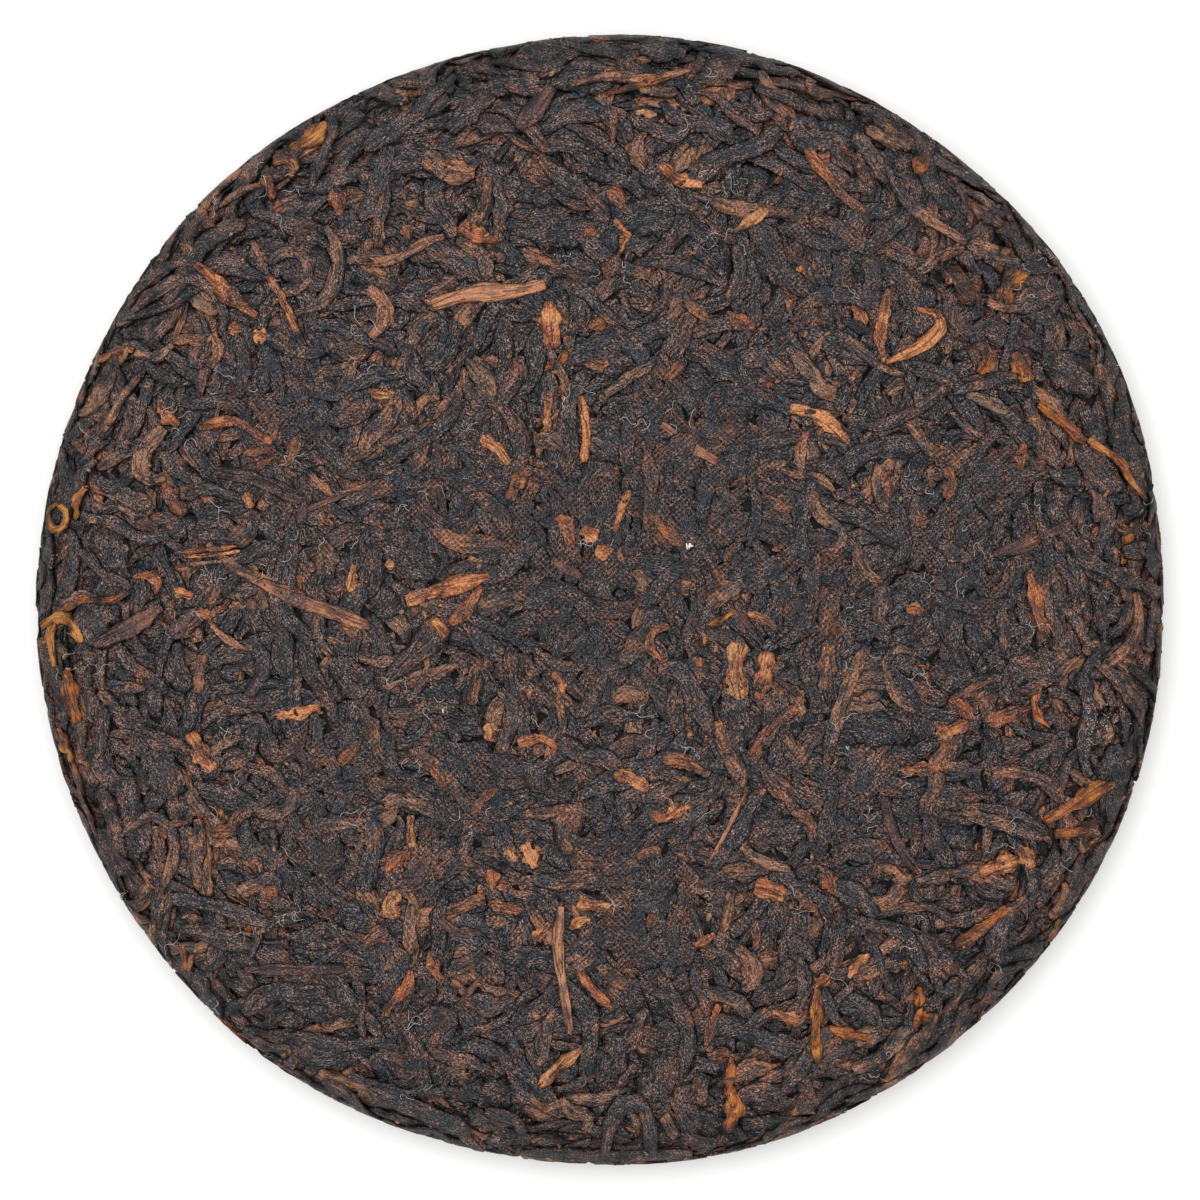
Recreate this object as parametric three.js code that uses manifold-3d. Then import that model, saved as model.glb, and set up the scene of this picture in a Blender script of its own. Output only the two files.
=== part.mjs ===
// A round cake of pressed pu erh tea: a low dome of dark leaf with a rounded rim, lying on its flat
// foot, with the hollow that the knot of the pressing cloth leaves in the middle of the underside.
// Millimetres, +Z up. The origin is on the table, under the middle of the cake.
import * as THREE from "three";
import { mergeVertices } from "three/addons/utils/BufferGeometryUtils.js";
import Module from "manifold-3d";

const wasm = await Module();
wasm.setup();

// The driving dimensions of the cake.
const CAKE_RADIUS = 98.5;
const CAKE_HEIGHT = 22.5;
const RIM_HEIGHT = 8;
const FOOT_RADIUS = 81;
const KNOT_RADIUS = 27;
const KNOT_DEPTH = 10;

// How the top falls to the rim: how long it stays level, and how round its shoulder is.
const DOME_LEVEL = 2.6;
const DOME_SHOULDER = 2;

// The core is this much smaller than the cake. The leaves on it make up the difference.
const LEAF_RISE = 0.8;

// The outline runs slightly out of round, in lobes of this many, this high and turned this far.
const OUTLINE_LOBES = [
  { count: 2, height: 0.3, turn: 55 },
  { count: 3, height: 0.23, turn: 58 },
  { count: 4, height: 0.18, turn: 43 },
  { count: 7, height: 0.24, turn: -22 },
];

// The core's own unevenness between the leaves.
const CORE_BUMP = 0.25;
const CORE_BUMP_SPACING = 11;

// The core's facets lie in rings round its two middles. The rings stand closer at the rim by this share.
const CORE_RINGS = 13;
const RING_CROWDING = 0.6;

const DOME_STEPS = 9;
const EDGE_STEPS = 4;
const KNOT_STEPS = 5;

const LEAF_COLOUR = 0x2e2826;
const LEAF_ROUGHNESS = 0.85;

// Sizes of the scattered leaves, from the shortest to the longest.
const LEAF_LENGTH = [13, 26];
const LEAF_WIDTH = [3, 5];
const LEAF_BEND = 80;

// A leaf's ends are this share of its width, and its pressed upper side this share of its lower side.
const LEAF_END = 0.45;
const LEAF_TOP = 0.7;
const LEAF_STEP = 7;

// How many leaves lie on each part of the cake, and the band that they keep to.
const TOP_LEAVES = { count: 64, from: 0, to: 92 };
const RIM_LEAVES = { count: 22, from: 97, to: 108 };
const UNDERSIDE_LEAVES = { count: 20, from: 30, to: 92 };
const FOOT_LEAVES = { count: 8, radius: 60, length: 20, width: 8 };

// The leaves that stand out on the top, each at its own place: x and y of its middle, its length
// and width, the way it points in degrees from +X, and how far it turns over its length.
const MARKED_LEAVES = [
  { x: -50.5, y: -0.6, length: 20, width: 3, points: -23, bend: 8 },
  { x: -79.5, y: -2.5, length: 17, width: 3, points: 33, bend: 6 },
  { x: -17.5, y: 53.5, length: 21, width: 3.2, points: 7, bend: 10 },
  { x: -7, y: -64, length: 24, width: 2.4, points: -86, bend: 5 },
  { x: 38.5, y: 30.5, length: 11, width: 2.8, points: -28, bend: -45 },
  { x: -55, y: 21, length: 15, width: 2.8, points: -22, bend: 6 },
  { x: -44, y: 15.5, length: 10, width: 2.8, points: -86, bend: 6 },
  { x: 21.5, y: -39.5, length: 17, width: 3.6, points: 58, bend: 0 },
  { x: 44, y: -13, length: 27, width: 2.8, points: 78, bend: -22 },
  { x: 38, y: 12.5, length: 20, width: 3.2, points: 56, bend: 14 },
  { x: -75, y: -46, length: 25, width: 2.6, points: -15, bend: -160 },
  { x: -52, y: -53, length: 19, width: 3.4, points: -13, bend: 8 },
  { x: -52, y: -64, length: 17, width: 2.6, points: -1, bend: 4 },
  { x: -71.5, y: 43, length: 22, width: 2.8, points: -8, bend: -70 },
  { x: -27.5, y: -24, length: 22, width: 2.8, points: 60, bend: 150 },
  { x: 90, y: -16, length: 24, width: 3.6, points: -62, bend: -30 },
  { x: 83.5, y: 28, length: 24, width: 3, points: -50, bend: -22 },
  { x: 52, y: 62, length: 22, width: 3, points: -30, bend: 12 },
  { x: 68, y: -41, length: 22, width: 3.4, points: -12, bend: -18 },
  { x: 14, y: 50, length: 20, width: 3.6, points: -12, bend: -50 },
  { x: 34, y: 74.5, length: 15, width: 2.6, points: -48, bend: -12 },
  { x: 46, y: 69, length: 14, width: 2.6, points: -42, bend: 40 },
  { x: -14, y: 82, length: 11, width: 4, points: 52, bend: 0 },
  { x: 84, y: -35.5, length: 14, width: 4, points: 32, bend: 20 },
];

const degrees = THREE.MathUtils.degToRad;

// The same draws in the same order every time.
function seededDraw(seed) {
  let state = seed;
  return () => {
    state = (state + 0x6d2b79f5) | 0;
    let mixed = Math.imul(state ^ (state >>> 15), 1 | state);
    mixed = (mixed + Math.imul(mixed ^ (mixed >>> 7), 61 | mixed)) ^ mixed;
    return ((mixed ^ (mixed >>> 14)) >>> 0) / 2 ** 32;
  };
}

const draw = seededDraw(357);
const between = (low, high) => low + (high - low) * draw();

function domeHeight(radius) {
  const fall = 1 - (radius / CAKE_RADIUS) ** DOME_LEVEL;
  return RIM_HEIGHT + (CAKE_HEIGHT - RIM_HEIGHT) * Math.max(fall, 0) ** (1 / DOME_SHOULDER);
}

// Evenly spaced turns of the edge, from 0 at its start to a quarter turn at the rim.
const quarterTurns = (steps) =>
  Array.from({ length: steps }, (_, i) => ((i + 1) / steps) * (Math.PI / 2));

// The underside from the middle of the hollow to the widest point of the rim.
function undersidePoints() {
  const hollow = Array.from({ length: KNOT_STEPS + 1 }, (_, i) => {
    const radius = (KNOT_RADIUS * i) / KNOT_STEPS;
    const height = KNOT_DEPTH * Math.cos(((radius / KNOT_RADIUS) * Math.PI) / 2) ** 2;
    return new THREE.Vector2(radius, height);
  });
  const foot = [new THREE.Vector2((KNOT_RADIUS + FOOT_RADIUS) / 2, 0), new THREE.Vector2(FOOT_RADIUS, 0)];
  const edge = quarterTurns(EDGE_STEPS).map(
    (turn) =>
      new THREE.Vector2(
        FOOT_RADIUS + (CAKE_RADIUS - FOOT_RADIUS) * Math.sin(turn),
        RIM_HEIGHT * (1 - Math.cos(turn)),
      ),
  );
  return [...hollow, ...foot, ...edge];
}

// The top from the middle of the dome to just above the rim, closer together where it falls.
function topPoints() {
  return Array.from({ length: DOME_STEPS }, (_, i) => {
    const radius = CAKE_RADIUS * Math.sin(((i / DOME_STEPS) * Math.PI) / 2);
    return new THREE.Vector2(radius, domeHeight(radius));
  });
}

const underside = undersidePoints();
const top = topPoints();
const rim = underside.at(-1);

// Each face as a curve out from its middle and on over the rim, so that a leaf can be laid along it,
// and how far the rim is from that middle over the surface.
const TOP_FACE = new THREE.SplineCurve([...top, ...underside.slice(-EDGE_STEPS - 1).reverse()]);
const UNDER_FACE = new THREE.SplineCurve([...underside, ...top.slice(-2).reverse()]);
const TOP_REACH = new THREE.SplineCurve([...top, rim]).getLength();
const UNDER_REACH = new THREE.SplineCurve(underside).getLength();

// A place on the foot is this much farther from the middle over the surface than straight across.
const UNDERSIDE_SHIFT = new THREE.SplineCurve(underside.slice(0, KNOT_STEPS + 1)).getLength() - KNOT_RADIUS;

function outlineScale(angle, radius) {
  const lobes = OUTLINE_LOBES.map(
    ({ count, height, turn }) => height * Math.cos(count * (angle - degrees(turn))),
  );
  const strength = (radius / CAKE_RADIUS) ** 2 / CAKE_RADIUS;
  return 1 + strength * lobes.reduce((sum, lobe) => sum + lobe, 0);
}

// The point that lies lift above a face, at place (across, along) as measured over the surface.
function pointOnFace(face, across, along, lift) {
  const side = face === TOP_FACE ? 1 : -1;
  const way = Math.min(Math.hypot(across, along) / face.getLength(), 1);
  const angle = side * Math.atan2(along, across);
  const spot = face.getPointAt(way);
  const run = face.getTangentAt(way);
  const radius = Math.max(spot.x - side * run.y * lift, 0);
  const scale = outlineScale(angle, spot.x);
  const height = spot.y + side * run.x * lift;
  return new THREE.Vector3(radius * scale * Math.cos(angle), radius * scale * Math.sin(angle), height);
}

// A leaf is a strip with a flat upper side and tapered ends, bent over its length.
function leafGeometry(face, { x, y, length, width, points, bend, rise = LEAF_RISE }) {
  const steps = Math.max(2, Math.round(length / LEAF_STEP));
  const strip = new THREE.BoxGeometry(1, 1, 1, steps, 1, 1);
  const spine = bentLine(x, y, length, degrees(points), degrees(bend));
  const position = strip.getAttribute("position");
  for (let i = 0; i < position.count; i++) {
    const along = position.getX(i) + 0.5;
    const isUpper = position.getZ(i) > 0;
    const taper = LEAF_END + (1 - LEAF_END) * Math.sin(Math.PI * along);
    const { place, heading } = spine(along);
    const aside = position.getY(i) * width * taper * (isUpper ? LEAF_TOP : 1);
    const spot = pointOnFace(
      face,
      place.x - aside * Math.sin(heading),
      place.y + aside * Math.cos(heading),
      (isUpper ? rise : -rise) - LEAF_RISE,
    );
    position.setXYZ(i, spot.x, spot.y, spot.z);
  }
  return strip;
}

// An arc whose middle is at x, y: gives the place and the heading at each share of its length.
function bentLine(x, y, length, heading, bend) {
  return (share) => {
    const past = (share - 0.5) * length;
    const turn = (share - 0.5) * bend;
    const chord = Math.abs(turn) < 1e-6 ? past : (past * Math.sin(turn / 2)) / (turn / 2);
    const place = new THREE.Vector2(
      x + chord * Math.cos(heading + turn / 2),
      y + chord * Math.sin(heading + turn / 2),
    );
    return { place, heading: heading + turn };
  };
}

// The closed solid of a geometry, without the flat slivers that meet at a pole.
function solidOf(geometry) {
  const bare = geometry.clone();
  bare.deleteAttribute("normal");
  bare.deleteAttribute("uv");
  const merged = mergeVertices(bare, 1e-4);
  const corners = [];
  for (let i = 0; i < merged.index.count; i += 3) {
    const [a, b, c] = [0, 1, 2].map((k) => merged.index.getX(i + k));
    if (a !== b && b !== c && c !== a) corners.push(a, b, c);
  }
  return new wasm.Manifold(
    new wasm.Mesh({
      numProp: 3,
      vertProperties: new Float32Array(merged.attributes.position.array),
      triVerts: new Uint32Array(corners),
    }),
  );
}

function geometryOf(solid) {
  const mesh = solid.getMesh();
  const geometry = new THREE.BufferGeometry();
  geometry.setAttribute("position", new THREE.BufferAttribute(mesh.vertProperties, 3));
  geometry.setIndex(new THREE.BufferAttribute(mesh.triVerts, 1));
  return geometry;
}

// The body of the cake under its leaves, gently uneven. The rings of an octahedron's facets become
// rings round the cake, four more facets to each ring outwards.
function coreSolid() {
  const core = new THREE.OctahedronGeometry(1, CORE_RINGS - 1);
  const position = core.getAttribute("position");
  for (let i = 0; i < position.count; i++) {
    const { x, y, z } = new THREE.Vector3().fromBufferAttribute(position, i);
    const flat = Math.abs(x) + Math.abs(y);
    const ring = Math.round((CORE_RINGS * flat) / (flat + Math.abs(z)));
    const quarter = ring === 0 ? 0 : (Math.round((ring * Math.abs(y)) / flat) / ring) * (Math.PI / 2);
    const half = x < 0 ? Math.PI - quarter : quarter;
    const angle = y < 0 ? -half : half;
    const isTop = z > 0 || ring === CORE_RINGS;
    const share = ring / CORE_RINGS;
    const spread = (1 - RING_CROWDING) * share + RING_CROWDING * Math.sin((share * Math.PI) / 2);
    const way = spread * (isTop ? TOP_REACH : UNDER_REACH);
    const across = way * Math.cos(angle);
    const along = way * Math.sin(angle) * (isTop ? 1 : -1);
    const lift = CORE_BUMP * bumpAt(across, along) - LEAF_RISE;
    const spot = pointOnFace(isTop ? TOP_FACE : UNDER_FACE, across, along, lift);
    position.setXYZ(i, spot.x, spot.y, spot.z);
  }
  return solidOf(core);
}

// A wandering up and down between -1 and 1.
function bumpAt(across, along) {
  const wave = (value) => Math.sin((2 * Math.PI * value) / CORE_BUMP_SPACING);
  return wave(across + wave(along)) * wave(along + wave(across));
}

// Places spread evenly over a ring, each the farthest of a few draws from those before it.
function spreadPlaces({ count, from, to }, taken = []) {
  const tries = 12;
  const places = [...taken];
  const made = [];
  for (let n = 0; n < count; n++) {
    const options = Array.from({ length: tries }, () => {
      const angle = between(0, 2 * Math.PI);
      const radius = Math.sqrt(between(from ** 2, to ** 2));
      return new THREE.Vector2(radius * Math.cos(angle), radius * Math.sin(angle));
    });
    const room = options.map((spot) => Math.min(...places.map((p) => p.distanceTo(spot)), 1e3));
    const best = options[room.indexOf(Math.max(...room))];
    places.push(best);
    made.push(best);
  }
  return made;
}

function scatteredLeaf(place, points, rise) {
  return {
    x: place.x,
    y: place.y,
    length: between(...LEAF_LENGTH),
    width: between(...LEAF_WIDTH),
    points,
    bend: between(-LEAF_BEND, LEAF_BEND),
    rise,
  };
}

// The way round the cake at a place, for leaves that follow the rim.
const alongRim = (place) => THREE.MathUtils.radToDeg(place.angle()) + 90;

function topLeaves() {
  const marked = MARKED_LEAVES.map((leaf) => new THREE.Vector2(leaf.x, leaf.y));
  const anyWay = spreadPlaces(TOP_LEAVES, marked).map((place) =>
    scatteredLeaf(place, between(0, 360), LEAF_RISE * between(0.85, 1.25)),
  );
  const round = spreadPlaces(RIM_LEAVES).map((place) =>
    scatteredLeaf(place, alongRim(place) + between(-30, 30), LEAF_RISE * between(0.9, 1.2)),
  );
  return [...MARKED_LEAVES, ...anyWay, ...round];
}

// The leaves that the cake stands on: broad ones round the foot, and loose ones between them.
function undersideLeaves() {
  const broad = Array.from({ length: FOOT_LEAVES.count }, (_, i) => {
    const angle = (i / FOOT_LEAVES.count) * 2 * Math.PI;
    const { radius, length, width } = FOOT_LEAVES;
    const place = UNDERSIDE_SHIFT + radius;
    const [x, y] = [place * Math.cos(angle), -place * Math.sin(angle)];
    return { x, y, length, width, points: 90 - (angle * 180) / Math.PI, bend: 20, rise: 1.4 * LEAF_RISE };
  });
  const taken = broad.map((leaf) => new THREE.Vector2(leaf.x, leaf.y));
  const loose = spreadPlaces(UNDERSIDE_LEAVES, taken).map((place) =>
    scatteredLeaf(place, between(0, 360), 1.3 * LEAF_RISE),
  );
  return [...broad, ...loose];
}

// A slab far larger than the cake, whose top is the table that the lowest leaves are pressed flat on.
function tableSolid() {
  const slab = new THREE.BoxGeometry(3 * CAKE_RADIUS, 3 * CAKE_RADIUS, CAKE_HEIGHT);
  slab.translate(0, 0, -CAKE_HEIGHT / 2);
  return solidOf(slab);
}

function cakeSolid() {
  let cake = coreSolid();
  for (const leaf of topLeaves()) cake = cake.add(solidOf(leafGeometry(TOP_FACE, leaf)));
  for (const leaf of undersideLeaves()) cake = cake.add(solidOf(leafGeometry(UNDER_FACE, leaf)));
  return cake.subtract(tableSolid());
}

const teaCake = new THREE.Mesh(
  geometryOf(cakeSolid()),
  new THREE.MeshStandardMaterial({ color: LEAF_COLOUR, roughness: LEAF_ROUGHNESS, metalness: 0 }),
);
teaCake.name = "tea_cake";

const cake = new THREE.Group();
cake.add(teaCake);

export default cake;
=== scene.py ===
import math

import bmesh
import bpy
import numpy as np
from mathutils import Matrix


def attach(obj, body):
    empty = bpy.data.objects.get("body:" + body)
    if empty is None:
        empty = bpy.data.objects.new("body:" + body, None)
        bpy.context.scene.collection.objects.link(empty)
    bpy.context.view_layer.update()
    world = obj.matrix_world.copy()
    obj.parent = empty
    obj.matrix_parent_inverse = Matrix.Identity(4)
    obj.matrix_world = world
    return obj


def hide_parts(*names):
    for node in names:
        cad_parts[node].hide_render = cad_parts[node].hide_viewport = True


# A pressed pu erh tea cake: a low dome of dark rolled leaf, pressed in a cloth that left its weave
# on the highest leaves. Lengths are in mm until they go into a mesh.
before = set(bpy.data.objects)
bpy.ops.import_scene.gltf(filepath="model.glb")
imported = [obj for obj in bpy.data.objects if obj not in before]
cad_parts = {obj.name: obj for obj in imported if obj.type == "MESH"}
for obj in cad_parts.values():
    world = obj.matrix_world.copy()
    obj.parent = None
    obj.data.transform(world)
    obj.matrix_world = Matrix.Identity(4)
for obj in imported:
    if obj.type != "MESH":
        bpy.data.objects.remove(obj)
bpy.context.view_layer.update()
random = np.random.default_rng(357)
mm = 0.001

# The form that the leaves lie on, as in the CAD part. A lobe is a count, a height and a turn in degrees.
cakeForm = {
    "radius": 98.5,
    "height": 22.5,
    "rimHeight": 8.0,
    "footRadius": 81.0,
    "hollowRadius": 27.0,
    "hollowDepth": 10.0,
    "domeLevel": 2.6,
    "lobes": [(2, 0.3, 55), (3, 0.23, 58), (4, 0.18, 43), (7, 0.24, -22)],
}

# The photograph: mm to a pixel at the rim, the pixel in the middle of the cake, and its width in pixels.
photo = {"pixelSize": 0.1744, "middle": (602.35, 600.2), "pixels": 1200}
view = {"lens": 100.0, "sensor": 36.0}
viewDistance = photo["pixels"] * photo["pixelSize"] * view["lens"] / view["sensor"]


def domeHeight(radius):
    fall = 1 - (radius / cakeForm["radius"]) ** cakeForm["domeLevel"]
    rise = cakeForm["height"] - cakeForm["rimHeight"]
    return cakeForm["rimHeight"] + rise * np.sqrt(np.clip(fall, 0, 1))


# A face of the cake is a curve out from its middle. Leaves are laid out flat, by their way over the
# surface, and then set on it. It also says how many rings a leaf on it has.
def makeFace(radius, height, side, rings):
    way = np.concatenate([[0.0], np.cumsum(np.hypot(np.diff(radius), np.diff(height)))])
    run = np.stack([np.gradient(radius, way), np.gradient(height, way)])
    run /= np.hypot(*run)
    columns = [radius, height, -side * run[1], side * run[0]]
    return {"way": way, "columns": columns, "side": side, "rings": rings}


# Both faces run over the whole cake, one from the middle of its top and the other from under it. The
# rim is at rimWay, and leaves are strewn a little further, so that the two meet round the side.
def makeFaces():
    domeRadius = cakeForm["radius"] * np.sin(np.linspace(0, math.pi / 2, 400))
    edgeTurn = np.linspace(math.pi / 2, 0, 80)[1:]
    edgeRadius = cakeForm["footRadius"] + (cakeForm["radius"] - cakeForm["footRadius"]) * np.sin(edgeTurn)
    edgeHeight = cakeForm["rimHeight"] * (1 - np.cos(edgeTurn))
    footRadius = np.linspace(cakeForm["footRadius"], cakeForm["hollowRadius"], 60)[1:]
    hollowRadius = np.linspace(cakeForm["hollowRadius"], 0, 80)[1:]
    hollowTurn = hollowRadius / cakeForm["hollowRadius"] * math.pi / 2
    hollowHeight = cakeForm["hollowDepth"] * np.cos(hollowTurn) ** 2
    radius = np.concatenate([domeRadius, edgeRadius, footRadius, hollowRadius])
    height = np.concatenate([domeHeight(domeRadius), edgeHeight, 0 * footRadius, hollowHeight])
    top = makeFace(radius, height, 1, 12)
    top["rimWay"] = top["way"][len(domeRadius) - 1]
    top["reach"] = top["rimWay"] + 13
    under = makeFace(radius[::-1], height[::-1], -1, 8)
    under["rimWay"] = under["way"][-1] - top["rimWay"]
    under["reach"] = under["rimWay"] + 1
    return top, under


def lobeScale(turn, radius):
    lobes = sum(high * np.cos(count * (turn - math.radians(at))) for count, high, at in cakeForm["lobes"])
    return 1 + lobes * (radius / cakeForm["radius"]) ** 2 / cakeForm["radius"]


def setOnFace(face, a, b, lift):
    way = np.hypot(a, b)
    turn = face["side"] * np.arctan2(b, a)
    radius, height, outwards, upwards = (np.interp(way, face["way"], c) for c in face["columns"])
    out = (radius + outwards * lift) * lobeScale(turn, radius)
    return np.stack([out * np.cos(turn), out * np.sin(turn), height + upwards * lift], axis=-1)


# Where a pixel of the photograph is on the top, laid out flat.
def fromPhoto(face, pixels):
    pixels = np.asarray(pixels, float)
    x = (pixels[:, 0] - photo["middle"][0]) * photo["pixelSize"]
    y = (photo["middle"][1] - pixels[:, 1]) * photo["pixelSize"]
    shown = face["way"] <= face["rimWay"]
    radius, height = (c[shown] for c in face["columns"][:2])
    seen = radius * viewDistance / (viewDistance - (height - cakeForm["rimHeight"]))
    way = np.interp(np.hypot(x, y), seen, face["way"][shown])
    turn = np.arctan2(y, x)
    return way * np.cos(turn), way * np.sin(turn)


topFace, underFace = makeFaces()
print("faces of the cake laid out")


# The corners of a template, and its faces as corner numbers and counts of corners.
def meshArrays(bm):
    bm.verts.index_update()
    corners = np.array([v.co for v in bm.verts])
    loops = np.array([v.index for f in bm.faces for v in f.verts])
    sizes = np.array([len(f.verts) for f in bm.faces])
    bm.free()
    return corners, loops, sizes


# A leaf starts as a closed tube of rings. Its corners run over the top from edge to edge, with one more
# under the middle.
def tubeTemplate(rings, topSides):
    sides = topSides + 1
    bm = bmesh.new()
    bmesh.ops.create_cone(bm, cap_ends=True, segments=sides, radius1=1, radius2=1, depth=1)
    longEdges = [e for e in bm.edges if abs(e.verts[0].co.z - e.verts[1].co.z) > 0.5]
    bmesh.ops.subdivide_edges(bm, edges=longEdges, cuts=rings - 2)
    corners, loops, sizes = meshArrays(bm)
    turn = np.arctan2(corners[:, 1], corners[:, 0]) / (2 * math.pi)
    across = np.append(np.sin(np.linspace(math.pi / 2, -math.pi / 2, topSides)), 0)
    return {
        "rings": rings,
        "topSides": topSides,
        "ring": np.rint((corners[:, 2] + 0.5) * (rings - 1)).astype(int),
        "side": np.rint(turn * sides).astype(int) % sides,
        "across": across,
        "loops": loops,
        "sizes": sizes,
    }


# The kinds of leaf: length, width and thickness from least to most, how far one bends and waves in
# degrees, how far its ends narrow, how uneven its width is, and how wrinkled and ragged it is.
rolled = {"thick": (0.7, 1.0), "tip": 0.4, "waist": 0.18, "wrinkle": 0.16, "ragged": 0.11, "sides": 6}
bud = {"length": (3, 11), "width": (1.2, 2.8), "thick": (0.5, 0.8), "bend": 60, "wave": 18, "tip": 0.35,
       "waist": 0.26, "wrinkle": 0.1, "ragged": 0.16, "tone": (0.0, 0.6), "sides": 6}
leafKinds = {
    "charcoal": {**rolled, "length": (7, 25), "width": (1.9, 4.3), "bend": 60, "wave": 16,
                 "tone": (0.08, 0.5)},
    "umber": {**rolled, "length": (6, 22), "width": (1.7, 3.9), "bend": 65, "wave": 18,
              "tone": (0.25, 0.8)},
    "broad": {"length": (8, 18), "width": (4.4, 8.5), "thick": (0.35, 0.5), "bend": 35, "wave": 14,
              "tip": 0.2, "waist": 0.2, "wrinkle": 0.3, "ragged": 0.16, "tone": (0.0, 0.6), "sides": 8},
    "golden": bud,
    "amber": bud,
    "stem": {"length": (6, 18), "width": (1.2, 2.4), "thick": (0.8, 1.1), "bend": 14, "wave": 4,
             "tip": 0.45, "waist": 0.18, "wrinkle": 0.16, "ragged": 0.1, "tone": (0.0, 0.7), "sides": 6},
}

# How many leaves of each kind are strewn on a face, over a first layer of broad ones laid evenly, and
# how many square mm of one have to show. The others are left out.
topPlan = {"first": 1300, "charcoal": 2300, "umber": 1500, "broad": 600, "golden": 90, "amber": 60,
           "stem": 70}
underPlan = {"first": 900, "charcoal": 1200, "umber": 800, "broad": 480, "golden": 60, "amber": 60,
             "stem": 90}
leastSeen = {"top": 0.9, "under": 2.4}
rimStart = 76  # mm from the middle to where the leaves of the rim are counted from
darkKinds = ("charcoal", "umber", "broad")

# Leaves strewn within these mm of the middle lie any way, and further out more and more along the rim.
rimLay = {"from": 70, "over": 30, "most": 0.93}

# Some leaves end in a hook, on one side or the other. Stems and others that hardly bend don't.
hooked = {"share": 0.09, "turn": 2.4, "leastBend": 30}


# The way that the leaves at a place mostly lie, since they are pressed in bundles.
def layOfLeaves(a, b):
    return 2.2 * np.sin(a / 23 + 1.3 * np.sin(b / 31)) + 2 * np.sin(b / 19 + 1.7 * np.sin(a / 27) + 2)


# Random leaves: the middle, the heading, the bends, the width and thickness of each.
def strewLeaves(face, kind, count, isEven):
    look = leafKinds[kind]
    goldenTurn = math.pi * (3 - math.sqrt(5))
    spread = (np.arange(count) + 0.5) / count if isEven else random.random(count)
    way = face["reach"] * np.sqrt(spread)
    turn = goldenTurn * np.arange(count) if isEven else random.uniform(0, 2 * math.pi, count)
    alongRim = turn + math.pi / 2 + random.normal(0, 1, count) * np.clip((120 - way) / 60, 0.2, 0.6)
    anyWay = layOfLeaves(way * np.cos(turn), way * np.sin(turn)) + random.normal(0, 0.7, count)
    rimShare = np.clip((way - rimLay["from"]) / rimLay["over"], 0, rimLay["most"])
    followsRim = random.random(count) < rimShare
    shortest, longest = look["length"]
    length = shortest + (longest - shortest) * random.beta(1.3, 2.2, count)
    width = random.uniform(*look["width"], count)
    bend = math.radians(look["bend"]) * random.normal(0, 0.6, count)
    isHooked = random.random(count) < hooked["share"]
    hook = np.where(isHooked, random.choice([-1, 1], count) * hooked["turn"], 0.0)
    return {
        "a": way * np.cos(turn),
        "b": way * np.sin(turn),
        "heading": np.where(followsRim, alongRim, anyWay),
        "length": length,
        "width": width,
        "bend": bend,
        "hook": hook * (look["bend"] > hooked["leastBend"]),
    }


# The middle line of each leaf, ring by ring.
def middleLines(leaves, rings, wave):
    share = np.linspace(-0.5, 0.5, rings)
    count = len(leaves["a"])
    ripples = share * random.uniform(0.6, 1.5, (count, 1)) + random.random((count, 1))
    hook = leaves["hook"][:, None] * np.clip(share - 0.12, 0, 1) ** 1.2 * 3
    heading = leaves["heading"][:, None] + leaves["bend"][:, None] * share
    heading = heading + math.radians(wave) * np.sin(2 * math.pi * ripples) + hook
    step = leaves["length"][:, None] / (rings - 1)
    a = np.cumsum(np.cos(heading), axis=1) * step
    b = np.cumsum(np.sin(heading), axis=1) * step
    middle = rings // 2
    a += leaves["a"][:, None] - a[:, middle : middle + 1]
    b += leaves["b"][:, None] - b[:, middle : middle + 1]
    return a, b


# A smooth line through the points read off the photograph.
def lineThrough(a, b, rings):
    points = np.stack([a, b], axis=1)
    ends = np.concatenate([[2 * points[0] - points[1]], points, [2 * points[-1] - points[-2]]])
    curve = []
    for p0, p1, p2, p3 in zip(ends, ends[1:], ends[2:], ends[3:]):
        for t in np.linspace(0, 1, 12, endpoint=False):
            curve.append(0.5 * (2 * p1 + (p2 - p0) * t + (2 * p0 - 5 * p1 + 4 * p2 - p3) * t**2
                                + (3 * p1 - p0 - 3 * p2 + p3) * t**3))
    curve = np.array(curve + [points[-1]])
    way = np.concatenate([[0.0], np.cumsum(np.hypot(*np.diff(curve, axis=0).T))])
    even = np.linspace(0, way[-1], rings)
    return np.interp(even, way, curve[:, 0]), np.interp(even, way, curve[:, 1]), way[-1]


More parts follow.
